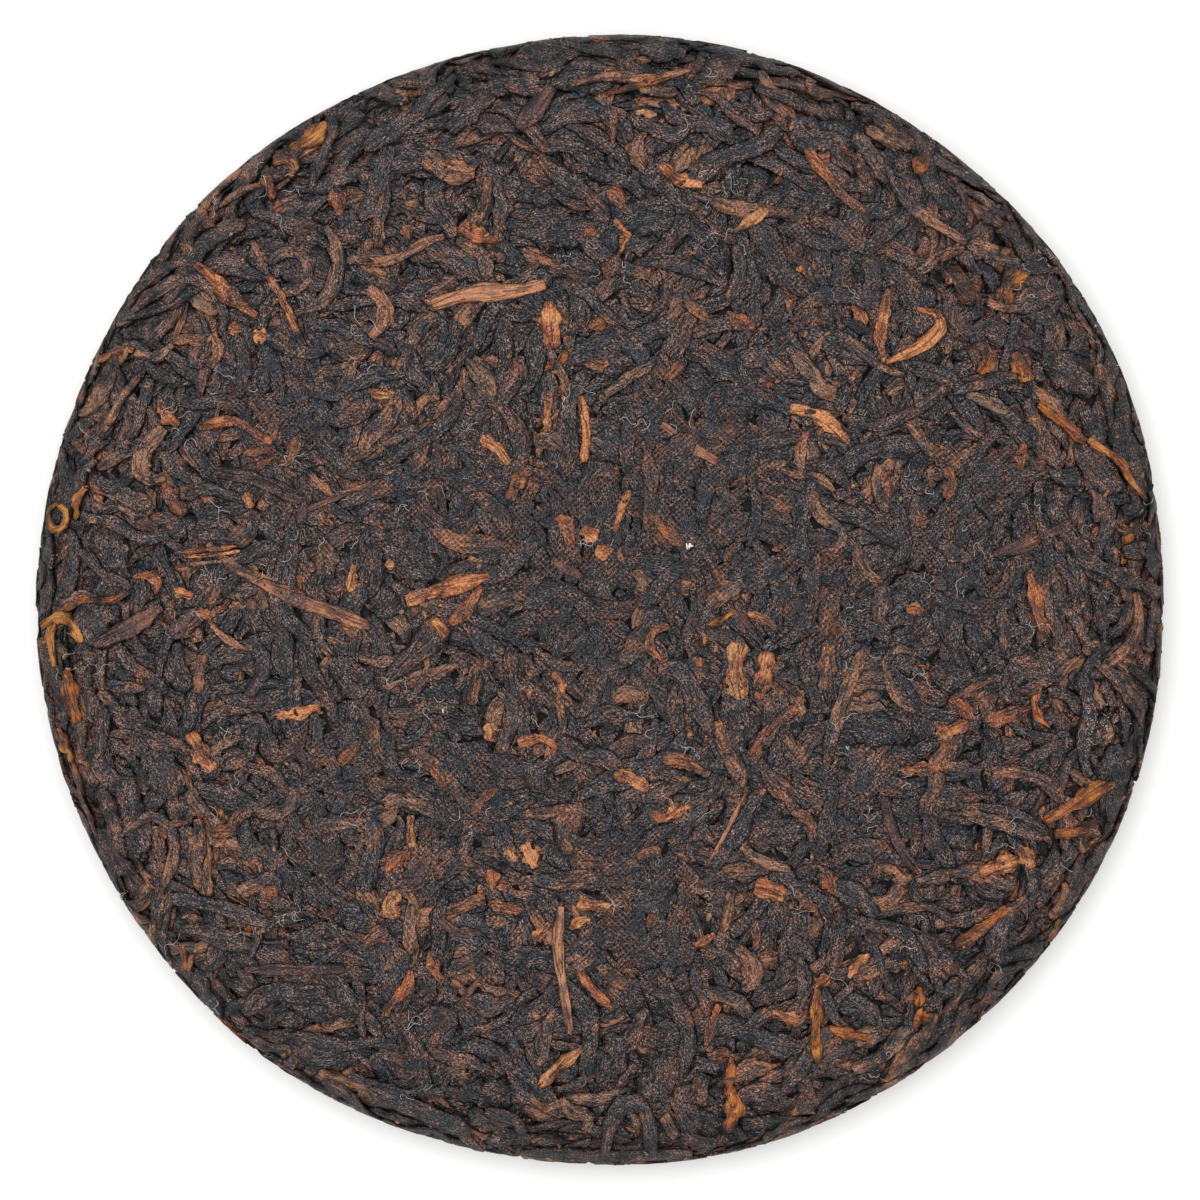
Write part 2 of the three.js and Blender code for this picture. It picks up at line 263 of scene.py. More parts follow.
# The body of each leaf round its middle line, still flat: places, and heights above what it lies on.
def leafBodies(face, kind, a, b, length, width, tone):
    look = leafKinds[kind]
    template = templateFor(face, kind)
    rings, across = template["rings"], template["across"]
    count = len(length)
    share = np.linspace(0, 1, rings)
    alongA, alongB = np.gradient(a, axis=1), np.gradient(b, axis=1)
    run = np.hypot(alongA, alongB)
    phase = random.random((count, 1))
    waist = 1 + look["waist"] * np.sin(2 * math.pi * (share * random.uniform(0.8, 2.2, (count, 1)) + phase))
    taper = look["tip"] + (1 - look["tip"]) * np.sin(math.pi * np.clip(share, 0.02, 0.98)) ** 0.55
    half = width[:, None] / 2 * taper * waist
    ragged = 1 + look["ragged"] * random.normal(0, 1, (count, rings, len(across)))
    aside = half[:, :, None] * across * ragged
    placeA = a[:, :, None] - (alongB / run)[:, :, None] * aside
    placeB = b[:, :, None] + (alongA / run)[:, :, None] * aside
    thick = random.uniform(*look["thick"], (count, 1)) * (0.55 + 0.45 * taper)
    profile = np.sqrt(1 - np.abs(across) ** 5)
    phases = random.random((count, 1, len(across)))
    creases = phases + share[:, None] * random.uniform(0.5, 2.0, phases.shape)
    crease = look["wrinkle"] * np.sin(2 * math.pi * creases) * (np.abs(across) < 0.95)
    rise = thick[:, :, None] * (profile + crease)
    return {
        "kind": kind,
        "template": template,
        "a": placeA,
        "b": placeB,
        "rise": rise,
        "raw": np.zeros_like(rise),
        "tone": tone,
        "along": share[:, None] * length[:, None, None] + 0 * across + 40 * random.random((count, 1, 1)),
        "asideRun": aside + 40 * random.random((count, 1, 1)),
        "seen": np.zeros(count),
    }


templates = {}


def templateFor(face, kind):
    key = (face["rings"], leafKinds[kind]["sides"])
    if key not in templates:
        templates[key] = tubeTemplate(*key)
    return templates[key]


def strewAll(face, plan):
    batches = []
    for name, count in plan.items():
        kind = "broad" if name == "first" else name
        look = leafKinds[kind]
        leaves = strewLeaves(face, kind, count, name == "first")
        a, b = middleLines(leaves, face["rings"], look["wave"])
        tone = random.uniform(*look["tone"], count)
        batches.append(leafBodies(face, kind, a, b, leaves["length"], leaves["width"], tone))
    return batches


# Leaves that stand out in the photograph, by kind: width, tone, and the pixels that each runs through.
markedLeaves = {
    "stem": [
        (3.2, 1.0, [(432, 305), (470, 293), (510, 291), (545, 284)]),
        (3.0, 0.62, [(256, 581), (300, 600), (340, 615), (370, 627)]),
        (3.0, 0.45, [(96, 645), (130, 628), (162, 607)]),
        (2.0, 0.8, [(561, 907), (558, 950), (565, 1000), (570, 1034)]),
        (3.0, 0.3, [(217, 472), (245, 476), (275, 487), (302, 500)]),
        (2.6, 0.35, [(301, 475), (303, 500), (300, 524)]),
        (1.3, 0.5, [(306, 510), (340, 495), (372, 482)]),
        (2.0, 0.3, [(246, 968), (295, 969), (345, 968)]),
        (1.2, 0.55, [(952, 699), (975, 688), (996, 680)]), (2.2, 0.3, [(494, 60), (518, 61), (541, 68)]),
        (1.8, 0.6, [(440, 919), (455, 931), (481, 933)]),
        (1.2, 0.5, [(459, 1006), (470, 992), (481, 977)]),
        (0.8, 0.75, [(707, 866), (727, 830), (746, 793)]),
        (2.2, 0.35, [(884, 798), (893, 830), (903, 852), (916, 870)]),
        (3.6, 0.5, [(518, 127), (535, 107), (553, 87)]), (4.0, 0.4, [(172, 636), (186, 624), (200, 611)]),
    ],
    "golden": [
        (2.6, 0.75, [(790, 408), (812, 413), (832, 425), (847, 440)]),
        (1.8, 0.65, [(580, 396), (586, 430), (584, 462)]),
        (1.8, 0.55, [(549, 392), (547, 412), (548, 432)]),
        (4.0, 0.7, [(738, 643), (735, 670), (741, 699)]),
        (3.4, 0.5, [(768, 652), (764, 675), (757, 699)]),
        (3.2, 0.6, [(406, 601), (440, 590), (489, 576)]),
        (3.6, 0.5, [(549, 301), (550, 325), (551, 348)]),
        (1.8, 0.7, [(734, 232), (752, 220), (768, 210)]),
        (1.8, 0.2, [(614, 108), (613, 126), (613, 143)]), (1.6, 0.3, [(406, 91), (416, 90), (425, 90)]),
        (3.0, 0.3, [(606, 192), (616, 196), (622, 208)]), (1.8, 0.6, [(585, 230), (595, 235)]),
        (1.4, 0.6, [(614, 220), (622, 228), (630, 237)]),
        (3.0, 0.25, [(606, 278), (612, 266), (620, 258)]),
        (2.4, 0.45, [(586, 362), (597, 366), (608, 362)]),
        (2.4, 0.2, [(669, 378), (676, 370), (683, 364)]),
        (2.6, 0.3, [(461, 226), (478, 234), (497, 240)]),
        (2.6, 0.25, [(726, 314), (740, 322), (755, 328)]),
        (1.6, 0.4, [(939, 262), (950, 255), (962, 249)]),
        (1.8, 0.2, [(887, 474), (888, 486), (889, 498)]),
        (2.2, 0.45, [(1024, 444), (1022, 456), (1020, 470)]),
        (2.2, 0.3, [(946, 468), (952, 480), (946, 498)]), (1.6, 0.4, [(850, 383), (859, 372)]),
        (2.4, 0.4, [(211, 833), (228, 830), (240, 816), (252, 810)]),
        (1.4, 0.3, [(168, 824), (180, 823), (192, 822)]),
        (2.6, 0.4, [(262, 896), (270, 891), (278, 890)]), (2.0, 0.35, [(252, 860), (262, 870)]),
        (3.4, 0.5, [(398, 892), (390, 905), (396, 918)]),
        (3.0, 0.35, [(366, 944), (376, 936), (388, 930)]),
        (1.8, 0.6, [(411, 815), (410, 830), (412, 847)]),
        (2.6, 0.2, [(386, 870), (396, 858), (409, 853)]),
        (2.4, 0.6, [(490, 869), (492, 879), (491, 888)]),
        (2.2, 0.4, [(431, 950), (433, 965), (441, 980)]),
        (2.2, 0.35, [(411, 970), (406, 988), (390, 1004), (386, 1014)]),
        (1.8, 0.3, [(472, 814), (482, 800), (498, 788)]),
        (1.8, 0.2, [(432, 768), (440, 780), (446, 792)]),
        (1.6, 0.25, [(184, 945), (185, 958), (184, 970)]),
        (2.0, 0.6, [(507, 848), (511, 855), (514, 862)]),
        (2.6, 0.65, [(524, 844), (530, 856), (535, 868)]),
        (2.2, 0.45, [(488, 903), (505, 908), (523, 911)]),
        (2.4, 0.45, [(577, 903), (594, 905), (610, 906)]),
        (2.0, 0.4, [(533, 941), (542, 932), (550, 923)]),
        (1.8, 0.8, [(570, 930), (578, 922), (590, 920)]),
        (2.0, 0.35, [(581, 974), (590, 988), (602, 1000), (612, 1010)]),
        (2.0, 0.35, [(718, 1004), (712, 1022), (706, 1044)]),
        (2.2, 0.5, [(772, 1012), (786, 1016), (799, 1020)]),
        (4.2, 0.6, [(755, 886), (770, 890), (785, 896)]),
        (2.2, 0.5, [(650, 812), (665, 818), (680, 808), (692, 806)]),
        (2.2, 0.5, [(792, 812), (806, 818), (815, 830)]),
        (1.8, 0.4, [(637, 858), (650, 851), (661, 851)]),
        (1.8, 0.5, [(695, 945), (705, 940), (715, 934)]),
        (1.8, 0.9, [(849, 978), (857, 964), (869, 955)]),
        (2.2, 0.25, [(796, 890), (806, 902), (816, 910)]),
        (2.6, 0.45, [(450, 624), (466, 610), (480, 588)]),
        (1.6, 0.5, [(669, 626), (653, 632), (650, 648), (663, 660)]),
        (2.8, 0.4, [(663, 758), (680, 760), (702, 772)]),
        (2.6, 0.75, [(614, 775), (630, 778), (648, 790)]),
        (1.0, 0.4, [(182, 552), (212, 549), (236, 546)]),
        (0.8, 0.6, [(184, 557), (212, 555), (240, 551)]),
        (2.4, 0.8, [(660, 166), (680, 181), (702, 186)]),
        (2.6, 0.3, [(806, 150), (820, 170), (842, 195), (864, 214)]),
        (1.4, 0.9, [(636, 114), (646, 113), (657, 114)]),
        (1.8, 0.6, [(268, 275), (284, 302), (297, 331)]),
        (2.8, 0.45, [(196, 264), (215, 280), (235, 300), (256, 316)]),
        (2.4, 0.45, [(272, 160), (284, 160), (294, 166), (290, 177)]),
        (2.2, 0.4, [(266, 174), (270, 186), (272, 198)]),
        (3.0, 0.2, [(204, 227), (210, 220), (216, 213)]),
        (2.8, 0.35, [(334, 188), (338, 202), (339, 215)]),
        (2.4, 0.5, [(404, 225), (407, 232), (408, 239)]),
        (2.4, 0.5, [(228, 326), (235, 328), (241, 328)]),
        (2.8, 0.8, [(253, 337), (260, 336), (266, 337)]),
        (2.6, 0.4, [(158, 406), (168, 418), (177, 426)]),
        (1.8, 0.7, [(368, 390), (382, 395), (395, 394)]), (2.6, 0.3, [(71, 440), (78, 446), (85, 450)]),
        (1.6, 0.4, [(97, 360), (115, 349), (132, 350)]), (2.6, 0.4, [(950, 700), (962, 706), (975, 720)]),
        (2.8, 0.5, [(937, 737), (953, 730), (969, 723)]),
        (3.2, 0.35, [(986, 722), (1005, 718), (1030, 710)]),
        (2.2, 0.5, [(907, 610), (916, 609), (923, 613)]),
        (2.6, 0.35, [(1031, 574), (1037, 592), (1040, 612), (1048, 634)]),
        (1.8, 0.6, [(911, 866), (916, 869), (921, 873)]),
        (2.4, 0.35, [(902, 772), (920, 770), (943, 768)]),
        (2.4, 0.3, [(824, 874), (830, 884), (835, 894)]),
        (3.4, 0.55, [(980, 872), (1002, 866), (1020, 860)]),
        (3.0, 0.6, [(1018, 848), (1028, 858), (1032, 868)]),
        (2.2, 0.7, [(538, 1088), (560, 1066), (582, 1049)]),
        (2.2, 0.5, [(888, 290), (882, 320), (880, 345), (884, 362)]),
        (2.0, 0.65, [(886, 363), (915, 350), (938, 332), (938, 316), (916, 310)]),
        (2.4, 0.6, [(481, 437), (496, 447), (509, 463)]),
        (2.4, 0.4, [(510, 500), (516, 484), (530, 470)]),
        (3.4, 0.5, [(190, 733), (200, 752), (212, 771)]),
        (2.2, 0.8, [(277, 716), (298, 713), (319, 706)]),
        (1.8, 0.75, [(354, 565), (352, 579), (350, 592)]), (1.6, 1.0, [(385, 565), (394, 564)]),
        (3.0, 0.25, [(165, 486), (172, 500), (182, 513)]),
        (2.0, 0.6, [(174, 590), (184, 594), (193, 597)]),
        (1.5, 0.55, [(134, 577), (148, 576), (158, 583), (156, 594)]),
        (1.8, 0.7, [(197, 611), (203, 613), (210, 616)]), (1.8, 0.4, [(246, 492), (250, 508)]),
        (1.4, 0.3, [(243, 453), (256, 452), (270, 450)]),
        (2.6, 0.35, [(296, 439), (292, 450), (288, 461)]),
        (2.8, 0.45, [(557, 517), (566, 525), (571, 545)]),
        (2.6, 0.85, [(582, 528), (590, 534), (596, 541)]),
        (1.5, 0.6, [(630, 490), (621, 510), (615, 532)]),
        (2.6, 0.5, [(595, 555), (603, 552), (611, 547)]),
        (2.2, 0.3, [(650, 514), (664, 529), (683, 546)]),
        (2.2, 0.6, [(433, 620), (440, 627), (446, 637)]), (1.6, 0.5, [(698, 658), (702, 666)]),
        (1.8, 0.6, [(554, 672), (560, 682), (563, 692)]),
        (2.6, 0.7, [(490, 723), (491, 732), (489, 741)]),
        (2.0, 0.4, [(518, 744), (538, 738), (557, 746)]),
        (2.8, 0.25, [(797, 708), (778, 722), (765, 740), (753, 759)]),
        (1.6, 0.5, [(748, 613), (765, 620), (777, 629)]),
        (2.0, 0.35, [(198, 427), (231, 420), (252, 431), (271, 442)]),
    ],
    "amber": [
        (1.6, 0.3, [(610, 92), (640, 86), (664, 78)]), (3.0, 0.3, [(916, 176), (920, 166), (925, 156)]),
        (4.5, 0.1, [(945, 270), (960, 284), (974, 304)]),
        (4.0, 0.3, [(1000, 304), (1008, 285), (1024, 275)]),
        (2.4, 0.45, [(978, 374), (984, 365), (988, 356)]),
        (3.4, 0.4, [(1012, 354), (1022, 370), (1026, 382)]), (1.6, 0.8, [(1011, 208), (1017, 217)]),
        (1.6, 0.4, [(325, 1018), (328, 1028)]), (2.4, 0.45, [(815, 985), (822, 981), (828, 976)]),
        (2.2, 0.35, [(830, 1028), (850, 1034), (867, 1038)]),
        (2.6, 0.5, [(1050, 942), (1056, 932), (1060, 920)]),
        (2.0, 0.2, [(972, 1010), (982, 1004), (991, 998)]),
        (3.4, 0.7, [(290, 148), (308, 138), (326, 122)]),
        (1.6, 0.75, [(56, 503), (66, 513), (63, 528), (51, 528), (47, 513), (55, 503)]),
        (1.8, 0.8, [(85, 488), (76, 500), (72, 519)]),
        (2.0, 0.8, [(43, 626), (57, 617), (71, 622), (83, 642)]),
        (2.0, 0.9, [(52, 618), (52, 643), (56, 666)]), (3.6, 0.45, [(68, 670), (72, 697), (79, 722)]),
        (3.2, 0.6, [(59, 728), (63, 744), (70, 762)]),
        (2.4, 0.5, [(1038, 404), (1060, 420), (1085, 442)]),
        (1.6, 0.5, [(1088, 440), (1105, 450), (1122, 462), (1132, 480), (1146, 498)]),
        (3.0, 0.4, [(1045, 820), (1075, 804), (1100, 790), (1116, 784)]),
        (2.6, 0.35, [(1055, 834), (1078, 832), (1100, 822)]),
        (2.4, 0.35, [(955, 946), (985, 928), (1006, 908)]),
        (1.6, 0.35, [(731, 1056), (730, 1072), (728, 1090)]),
        (3.2, 0.4, [(728, 1086), (735, 1106), (726, 1130)]),
        (2.2, 0.45, [(817, 978), (817, 1010), (815, 1036), (818, 1062)]),
        (2.0, 0.35, [(920, 988), (921, 998), (920, 1010)]),
        (3.8, 0.35, [(914, 1018), (922, 1019), (931, 1020)]),
        (2.2, 0.9, [(214, 1013), (230, 1029), (247, 1044)]),
        (1.4, 0.3, [(60, 612), (85, 600), (110, 601), (130, 592)]),
    ],
    "umber": [
        (0.9, 0.9, [(190, 564), (214, 562), (238, 558)]),
        (3.4, 0.3, [(842, 910), (838, 940), (832, 970)]),
        (2.6, 0.8, [(360, 706), (370, 730), (379, 753)]),
        (1.4, 0.9, [(209, 621), (225, 638), (248, 650)]),
        (3.2, 0.7, [(534, 442), (550, 440), (563, 448)]),
        (3.0, 0.9, [(614, 700), (630, 693), (643, 698)]),
        (3.0, 0.7, [(500, 690), (515, 710), (507, 735), (500, 752)]),
        (3.5, 0.9, [(708, 605), (725, 593), (741, 585)]),
        (2.2, 0.5, [(731, 463), (724, 482), (722, 502)]),
        (2.6, 0.55, [(867, 646), (850, 680), (836, 722), (826, 766)]),
        (3.6, 0.5, [(886, 586), (882, 604), (878, 622)]),
        (3.4, 0.6, [(829, 645), (827, 668), (825, 690)]),
        (2.6, 0.6, [(1003, 608), (1006, 632), (1007, 654)]),
        (3.0, 0.5, [(944, 766), (962, 770), (981, 770)]),
        (2.8, 0.5, [(994, 772), (1020, 772), (1045, 782), (1062, 800)]),
        (2.6, 0.5, [(960, 812), (1000, 824), (1043, 838)]),
        (2.4, 0.6, [(917, 882), (945, 876), (979, 868)]),
        (1.6, 1.0, [(220, 204), (240, 192), (262, 181)]),
        (2.6, 0.3, [(131, 311), (160, 288), (187, 276), (212, 290), (224, 315), (222, 330)]),
        (2.4, 0.5, [(270, 262), (284, 252), (303, 256), (308, 275), (296, 290), (280, 292)]),
        (1.4, 0.6, [(254, 243), (262, 262), (268, 275)]),
        (2.0, 0.9, [(134, 352), (155, 356), (172, 345)]),
        (2.2, 0.8, [(213, 333), (217, 352), (208, 366)]),
        (2.2, 0.55, [(124, 832), (149, 816), (171, 829), (173, 860), (162, 893)]),
        (2.2, 0.4, [(128, 298), (150, 278), (178, 262), (196, 262)]),
        (2.4, 0.8, [(886, 168), (900, 195), (930, 222), (965, 244)]),
        (2.0, 0.95, [(571, 84), (610, 76), (650, 80), (690, 72)]),
        (4.5, 0.8, [(424, 152), (445, 168), (474, 172)]),
        (3.4, 0.95, [(793, 352), (808, 370), (822, 390), (836, 393)]),
        (2.0, 0.95, [(806, 432), (800, 455), (803, 476)]),
        (2.6, 0.85, [(966, 394), (985, 402), (1007, 412)]),
        (2.6, 0.7, [(258, 814), (280, 812), (294, 800), (292, 786)]),
        (2.0, 0.95, [(735, 830), (745, 850), (765, 862), (790, 870)]),
        (4.0, 0.35, [(792, 788), (806, 796), (822, 806)]),
        (2.8, 0.7, [(326, 226), (337, 250), (334, 285), (318, 304), (298, 312)]),
        (3.1, 1.0, [(368, 288), (383, 302), (384, 320), (371, 338)]),
        (2.6, 0.7, [(1140, 592), (1143, 625), (1128, 650), (1104, 669)]),
        (3.2, 0.55, [(1098, 662), (1125, 684), (1142, 712), (1148, 731)]),
    ],
    "broad": [
        (7.0, 0.3, [(335, 660), (350, 676), (368, 692)]),
        (7.5, 0.1, [(627, 224), (650, 216), (674, 218)]),
    ],
    "charcoal": [
        (1.6, 0.3, [(388, 690), (384, 715), (395, 736), (415, 738), (426, 722), (424, 700)]),
        (2.0, 0.3, [(755, 445), (752, 480), (757, 510), (748, 546)]),
        (3.4, 0.2, [(430, 470), (470, 482), (508, 487)]), (4.4, 0.2, [(448, 128), (470, 108), (492, 92)]),
        (3.0, 0.2, [(640, 262), (670, 262), (700, 272), (728, 286)]),
        (2.2, 0.4, [(952, 392), (985, 384), (1026, 372)]),
        (2.6, 0.35, [(842, 418), (880, 425), (915, 410), (950, 385)]),
        (3.0, 0.25, [(834, 788), (828, 820), (820, 856)]),
        (3.4, 0.4, [(714, 868), (737, 832), (759, 794)]),
        (3.0, 0.3, [(170, 897), (215, 905), (271, 923)]),
        (2.4, 0.3, [(958, 806), (1005, 812), (1051, 833)]),
        (3.0, 0.4, [(604, 1158), (612, 1120), (631, 1098), (648, 1118), (651, 1156)]),
        (3.2, 0.2, [(522, 1154), (606, 1157), (692, 1152)]),
        (4.6, 0.2, [(370, 1089), (420, 1112), (471, 1134)]),
    ],
}


def markedBatches(face):
    batches = []
    for kind in leafKinds:
        width, tone, runs = zip(*markedLeaves[kind])
        lines = [lineThrough(*fromPhoto(face, pixels), face["rings"]) for pixels in runs]
        a, b, length = (np.array(values) for values in zip(*lines))
        batches.append(leafBodies(face, kind, a, b, length, np.array(width), np.array(tone)))
    return batches


def smoothed(heights):
    padded = np.pad(heights, ((1, 1), (0, 0)), mode="edge")
    return np.maximum(heights, 0.25 * padded[:-2] + 0.5 * padded[1:-1] + 0.25 * padded[2:])


def finer(count, wanted):
    spots = np.linspace(0, count - 1, wanted)
    return np.array([np.interp(spots, np.arange(count), row) for row in np.eye(count)]).T


# The finer lines round each of a leaf's own, as far as the next one on both sides.
def windows(count, wanted):
    reach = (wanted - 1) // (count - 1) + 1
    at = np.rint(np.linspace(0, wanted - 1, count)).astype(int)
    return np.clip(at[:, None] + np.arange(-reach, reach + 1), 0, wanted - 1)


# The map of the height reached so far: mm to a cell and beyond the leaves, and how finely a leaf is
# drawn on it along and across. Then how far its sides keep up, and how deep its underside goes.
pileMap = {"cell": 0.25, "margin": 16, "along": 105, "across": 17, "acrossBroad": 41, "sides": 0.7,
           "belly": 0.2}


# Lays the leaves on each other in turn. A leaf rests on the highest of what is under it, and its sides
# come down to what is beside it.
def pileUp(face, batches, order):
    cell, along = pileMap["cell"], pileMap["along"]
    wide = int(2 * (face["reach"] + pileMap["margin"]) / cell)
    pile = {"cell": cell, "wide": wide, "height": np.zeros(wide * wide), "leaf": np.full(wide * wide, -1)}
    grids = {}
    for batch in batches:
        rings, top = batch["template"]["rings"], batch["template"]["topSides"]
        across = pileMap["acrossBroad" if batch["kind"] == "broad" else "across"]
        grids[batch["kind"]] = (finer(rings, along), finer(top, across).T, windows(rings, along),
                                windows(top, across))
    for number, (batch, i) in enumerate(order):
        top = batch["template"]["topSides"]
        a, b = batch["a"][i], batch["b"][i]
        lengthways, sideways, rowsNear, columnsNear = grids[batch["kind"]]
        spots = cellOf(pile, lengthways @ a[:, :top] @ sideways, lengthways @ b[:, :top] @ sideways)
        below = pile["height"][cellOf(pile, a[:, :top], b[:, :top])]
        highest = pile["height"][spots][rowsNear].max(axis=1)
        if batch["kind"] == "broad":
            base = smoothed(highest[:, columnsNear].max(axis=2))
        else:
            base = smoothed(highest.max(axis=1, keepdims=True))
        raw = np.empty_like(a)
        raw[:, :top] = base + batch["rise"][i][:, :top]
        upperSides = np.broadcast_to(base, below.shape)[:, [0, -1]]
        raw[:, [0, top - 1]] = pileMap["sides"] * upperSides + (1 - pileMap["sides"]) * below[:, [0, -1]]
        raw[:, top:] = below.min(axis=1, keepdims=True) - pileMap["belly"]
        batch["raw"][i] = raw
        spots = spots.ravel()
        heights = (lengthways @ raw[:, :top] @ sideways).ravel()
        np.maximum.at(pile["height"], spots, heights)
        onTop = heights >= pile["height"][spots] - 1e-9
        pile["leaf"][spots[onTop]] = number
    seen = np.bincount(pile["leaf"][pile["leaf"] >= 0], minlength=len(order)) * cell**2
    for number, (batch, i) in enumerate(order):
        batch["seen"][i] = seen[number]
    return pile


def cellOf(pile, a, b):
    middle = pile["wide"] // 2
    column = np.rint(a / pile["cell"]).astype(int) + middle
    row = np.rint(b / pile["cell"]).astype(int) + middle
    return np.clip(row, 0, pile["wide"] - 1) * pile["wide"] + np.clip(column, 0, pile["wide"] - 1)


# Where the photograph shows the cloth pressed hardest, so that the leaves there are crushed into one
# smooth face: the pixel in the middle of each place and its reach in pixels.
crushedPlaces = [
    (850, 262, 60), (930, 180, 46), (545, 540, 74), (425, 500, 46), (705, 500, 84), (960, 580, 66),
    (1062, 560, 46), (700, 440, 56), (280, 392, 56), (300, 865, 46), (872, 822, 46), (600, 650, 46),
    (140, 745, 36), (640, 862, 46), (790, 250, 46), (1052, 310, 50), (420, 1050, 46), (325, 980, 46),
    (640, 940, 50), (985, 485, 46), (345, 760, 46), (480, 800, 40), (810, 590, 46), (400, 150, 40),
]


def crush(a, b):
    places = np.array(crushedPlaces, float)
    middleA, middleB = fromPhoto(topFace, places[:, :2])
    kept = np.ones(np.shape(a))
    for overA, overB, reach in zip(middleA, middleB, places[:, 2] * photo["pixelSize"]):
        kept *= 1 - np.exp(-(((a - overA) ** 2 + (b - overB) ** 2) / (1.15 * reach) ** 2) ** 2)
    return 1 - kept


# How the press evens the pile out, in the middle of a face and in the looser ring near the rim: over
# how many mm, and how freely a leaf then stands above and lies below the form of the cake. A crushed
# place loses a share of that freedom. A leaf is tucked down where others cover it, and the whole mat
# settles. The ring starts at looseFrom and is fully loose looseOver further out. At the rim it is
# tighter again, down to rimLeast by rimPast beyond it.
press = {"spread": (0.85, 1.2), "above": (0.035, 0.17), "below": (0.055, 0.38), "crushing": 0.6,
         "tuck": 0.1, "settle": 0.12, "looseFrom": 56, "looseOver": 28, "rimPast": 5, "rimOver": 12,
         "rimLeast": 0.3}


def blurred(pile, spread):
    square = pile["height"].reshape(pile["wide"], pile["wide"])
    covered = (square > 0).astype(float)
    rate = np.fft.fftfreq(pile["wide"], pile["cell"])
    fade = np.exp(-2 * (math.pi * spread * rate) ** 2)
    window = np.outer(fade, fade[: pile["wide"] // 2 + 1])
    soft = np.fft.irfft2(np.fft.rfft2(square) * window, square.shape)
    share = np.fft.irfft2(np.fft.rfft2(covered) * window, square.shape)
    return (soft / np.maximum(share, 0.05)).ravel()


def pressedLevels(pile):
    return [blurred(pile, spread) for spread in press["spread"]]


# The value of a map at a place, between its four nearest cells.
def sample(pile, values, a, b):
    middle = pile["wide"] // 2
    column = np.clip(a / pile["cell"] + middle, 0, pile["wide"] - 2)
    row = np.clip(b / pile["cell"] + middle, 0, pile["wide"] - 2)
    left, low = np.floor(column).astype(int), np.floor(row).astype(int)
    u, v = column - left, row - low
    start = low * pile["wide"] + left
    lower = values[start] * (1 - u) + values[start + 1] * u
    upper = values[start + pile["wide"]] * (1 - u) + values[start + pile["wide"] + 1] * u
    return lower * (1 - v) + upper * v


# The lift of a place over the form of the cake, once it is pressed.
def pressed(face, pile, levels, a, b, raw):
    way = np.hypot(a, b)
    loose = np.clip((way - press["looseFrom"]) / press["looseOver"], 0, 1)
    rim = (face["rimWay"] + press["rimPast"] - way) / press["rimOver"]
    loose = loose * np.clip(rim, press["rimLeast"], 1)
    sampled = [sample(pile, values, a, b) for values in levels]
    ends = (sampled, press["above"], press["below"])
    level, above, below = (tight + loose * (slack - tight) for tight, slack in ends)
    above, below = (1 - press["crushing"] * crush(a, b)) * (above, below)
    over = raw - level
    upwards, downwards = above * np.log1p(np.abs(over) / above), -below * np.log1p(np.abs(over) / below)
    lift = np.where(over > 0, upwards, downwards)
    covered = sample(pile, pile["height"], a, b) - raw
    return lift - press["tuck"] * np.clip((covered - 0.3) / 0.5, 0, 1) - press["settle"]


def addPiece(name, mesh):
    piece = bpy.data.objects.new(name, mesh)
    bpy.context.scene.collection.objects.link(piece)
    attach(piece, "root")
    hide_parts("tea_cake")


# Joins copies of a template into one mesh: corners in mm, mm along and across the leaf, and four
# numbers that the materials read: the leaf's tone, the cloth's print, how clear it is of the painted
# shade at the leaf's edges and round the rim, and the leaf's cast.
def joinedMesh(name, parts, material):
    corners = np.concatenate([part["corners"].reshape(-1, 3) for part in parts]) * mm
    runs = np.concatenate([part["runs"].reshape(-1, 2) for part in parts])
    looks = np.concatenate([part["looks"].reshape(-1, 4) for part in parts])
    loops, sizes, start = [], [], 0
    for part in parts:
        count, each = part["corners"].shape[:2]
        loops.append((part["loops"] + each * np.arange(count)[:, None]).ravel() + start)
        sizes.append(np.tile(part["sizes"], count))
        start += count * each
    loops, sizes = np.concatenate(loops), np.concatenate(sizes)
    mesh = bpy.data.meshes.new(name)
    mesh.vertices.add(len(corners))
    mesh.vertices.foreach_set("co", corners.ravel())
    mesh.loops.add(len(loops))
    mesh.loops.foreach_set("vertex_index", loops)
    mesh.polygons.add(len(sizes))
    mesh.polygons.foreach_set("loop_start", np.cumsum(sizes) - sizes)
    mesh.update(calc_edges=True)
    mesh.polygons.foreach_set("use_smooth", np.ones(len(sizes), bool))
    mesh.uv_layers.new(name="leafRun").data.foreach_set("uv", runs[loops].ravel())
    look = mesh.attributes.new("leafLook", "FLOAT_COLOR", "POINT")
    look.data.foreach_set("color", looks.ravel())
    mesh.materials.append(material)
    addPiece(name, mesh)
    triangles = int((sizes - 2).sum())
    print(f"{name}: {sum(len(part['corners']) for part in parts)} parts, {triangles} triangles")


# What the place of a leaf does to its look. The cloth printed what isn't deeper than so many mm, and
# its print fades towards the rim, over the mm given and down to the least. The edges of the leaves
# get painted shade, and near the rim the whole leaf is darker with painted shade too; where the cake
# is crushed the edge shade is less, and the leaves are more alike in tone and cast.
clothPrint = {"deepest": 0.6, "fade": 0.4, "from": 70, "over": 30, "least": 0.25, "uncrushed": 0.6}
paintedRimShade = {"from": 84, "over": 12, "darkness": 0.56}
crushLook = {"edges": 0.75, "tone": 0.22, "toneShare": 0.65, "cast": 0.3, "castShare": 0.6}
underLeast = 0.02  # mm from the table to the lowest leaf


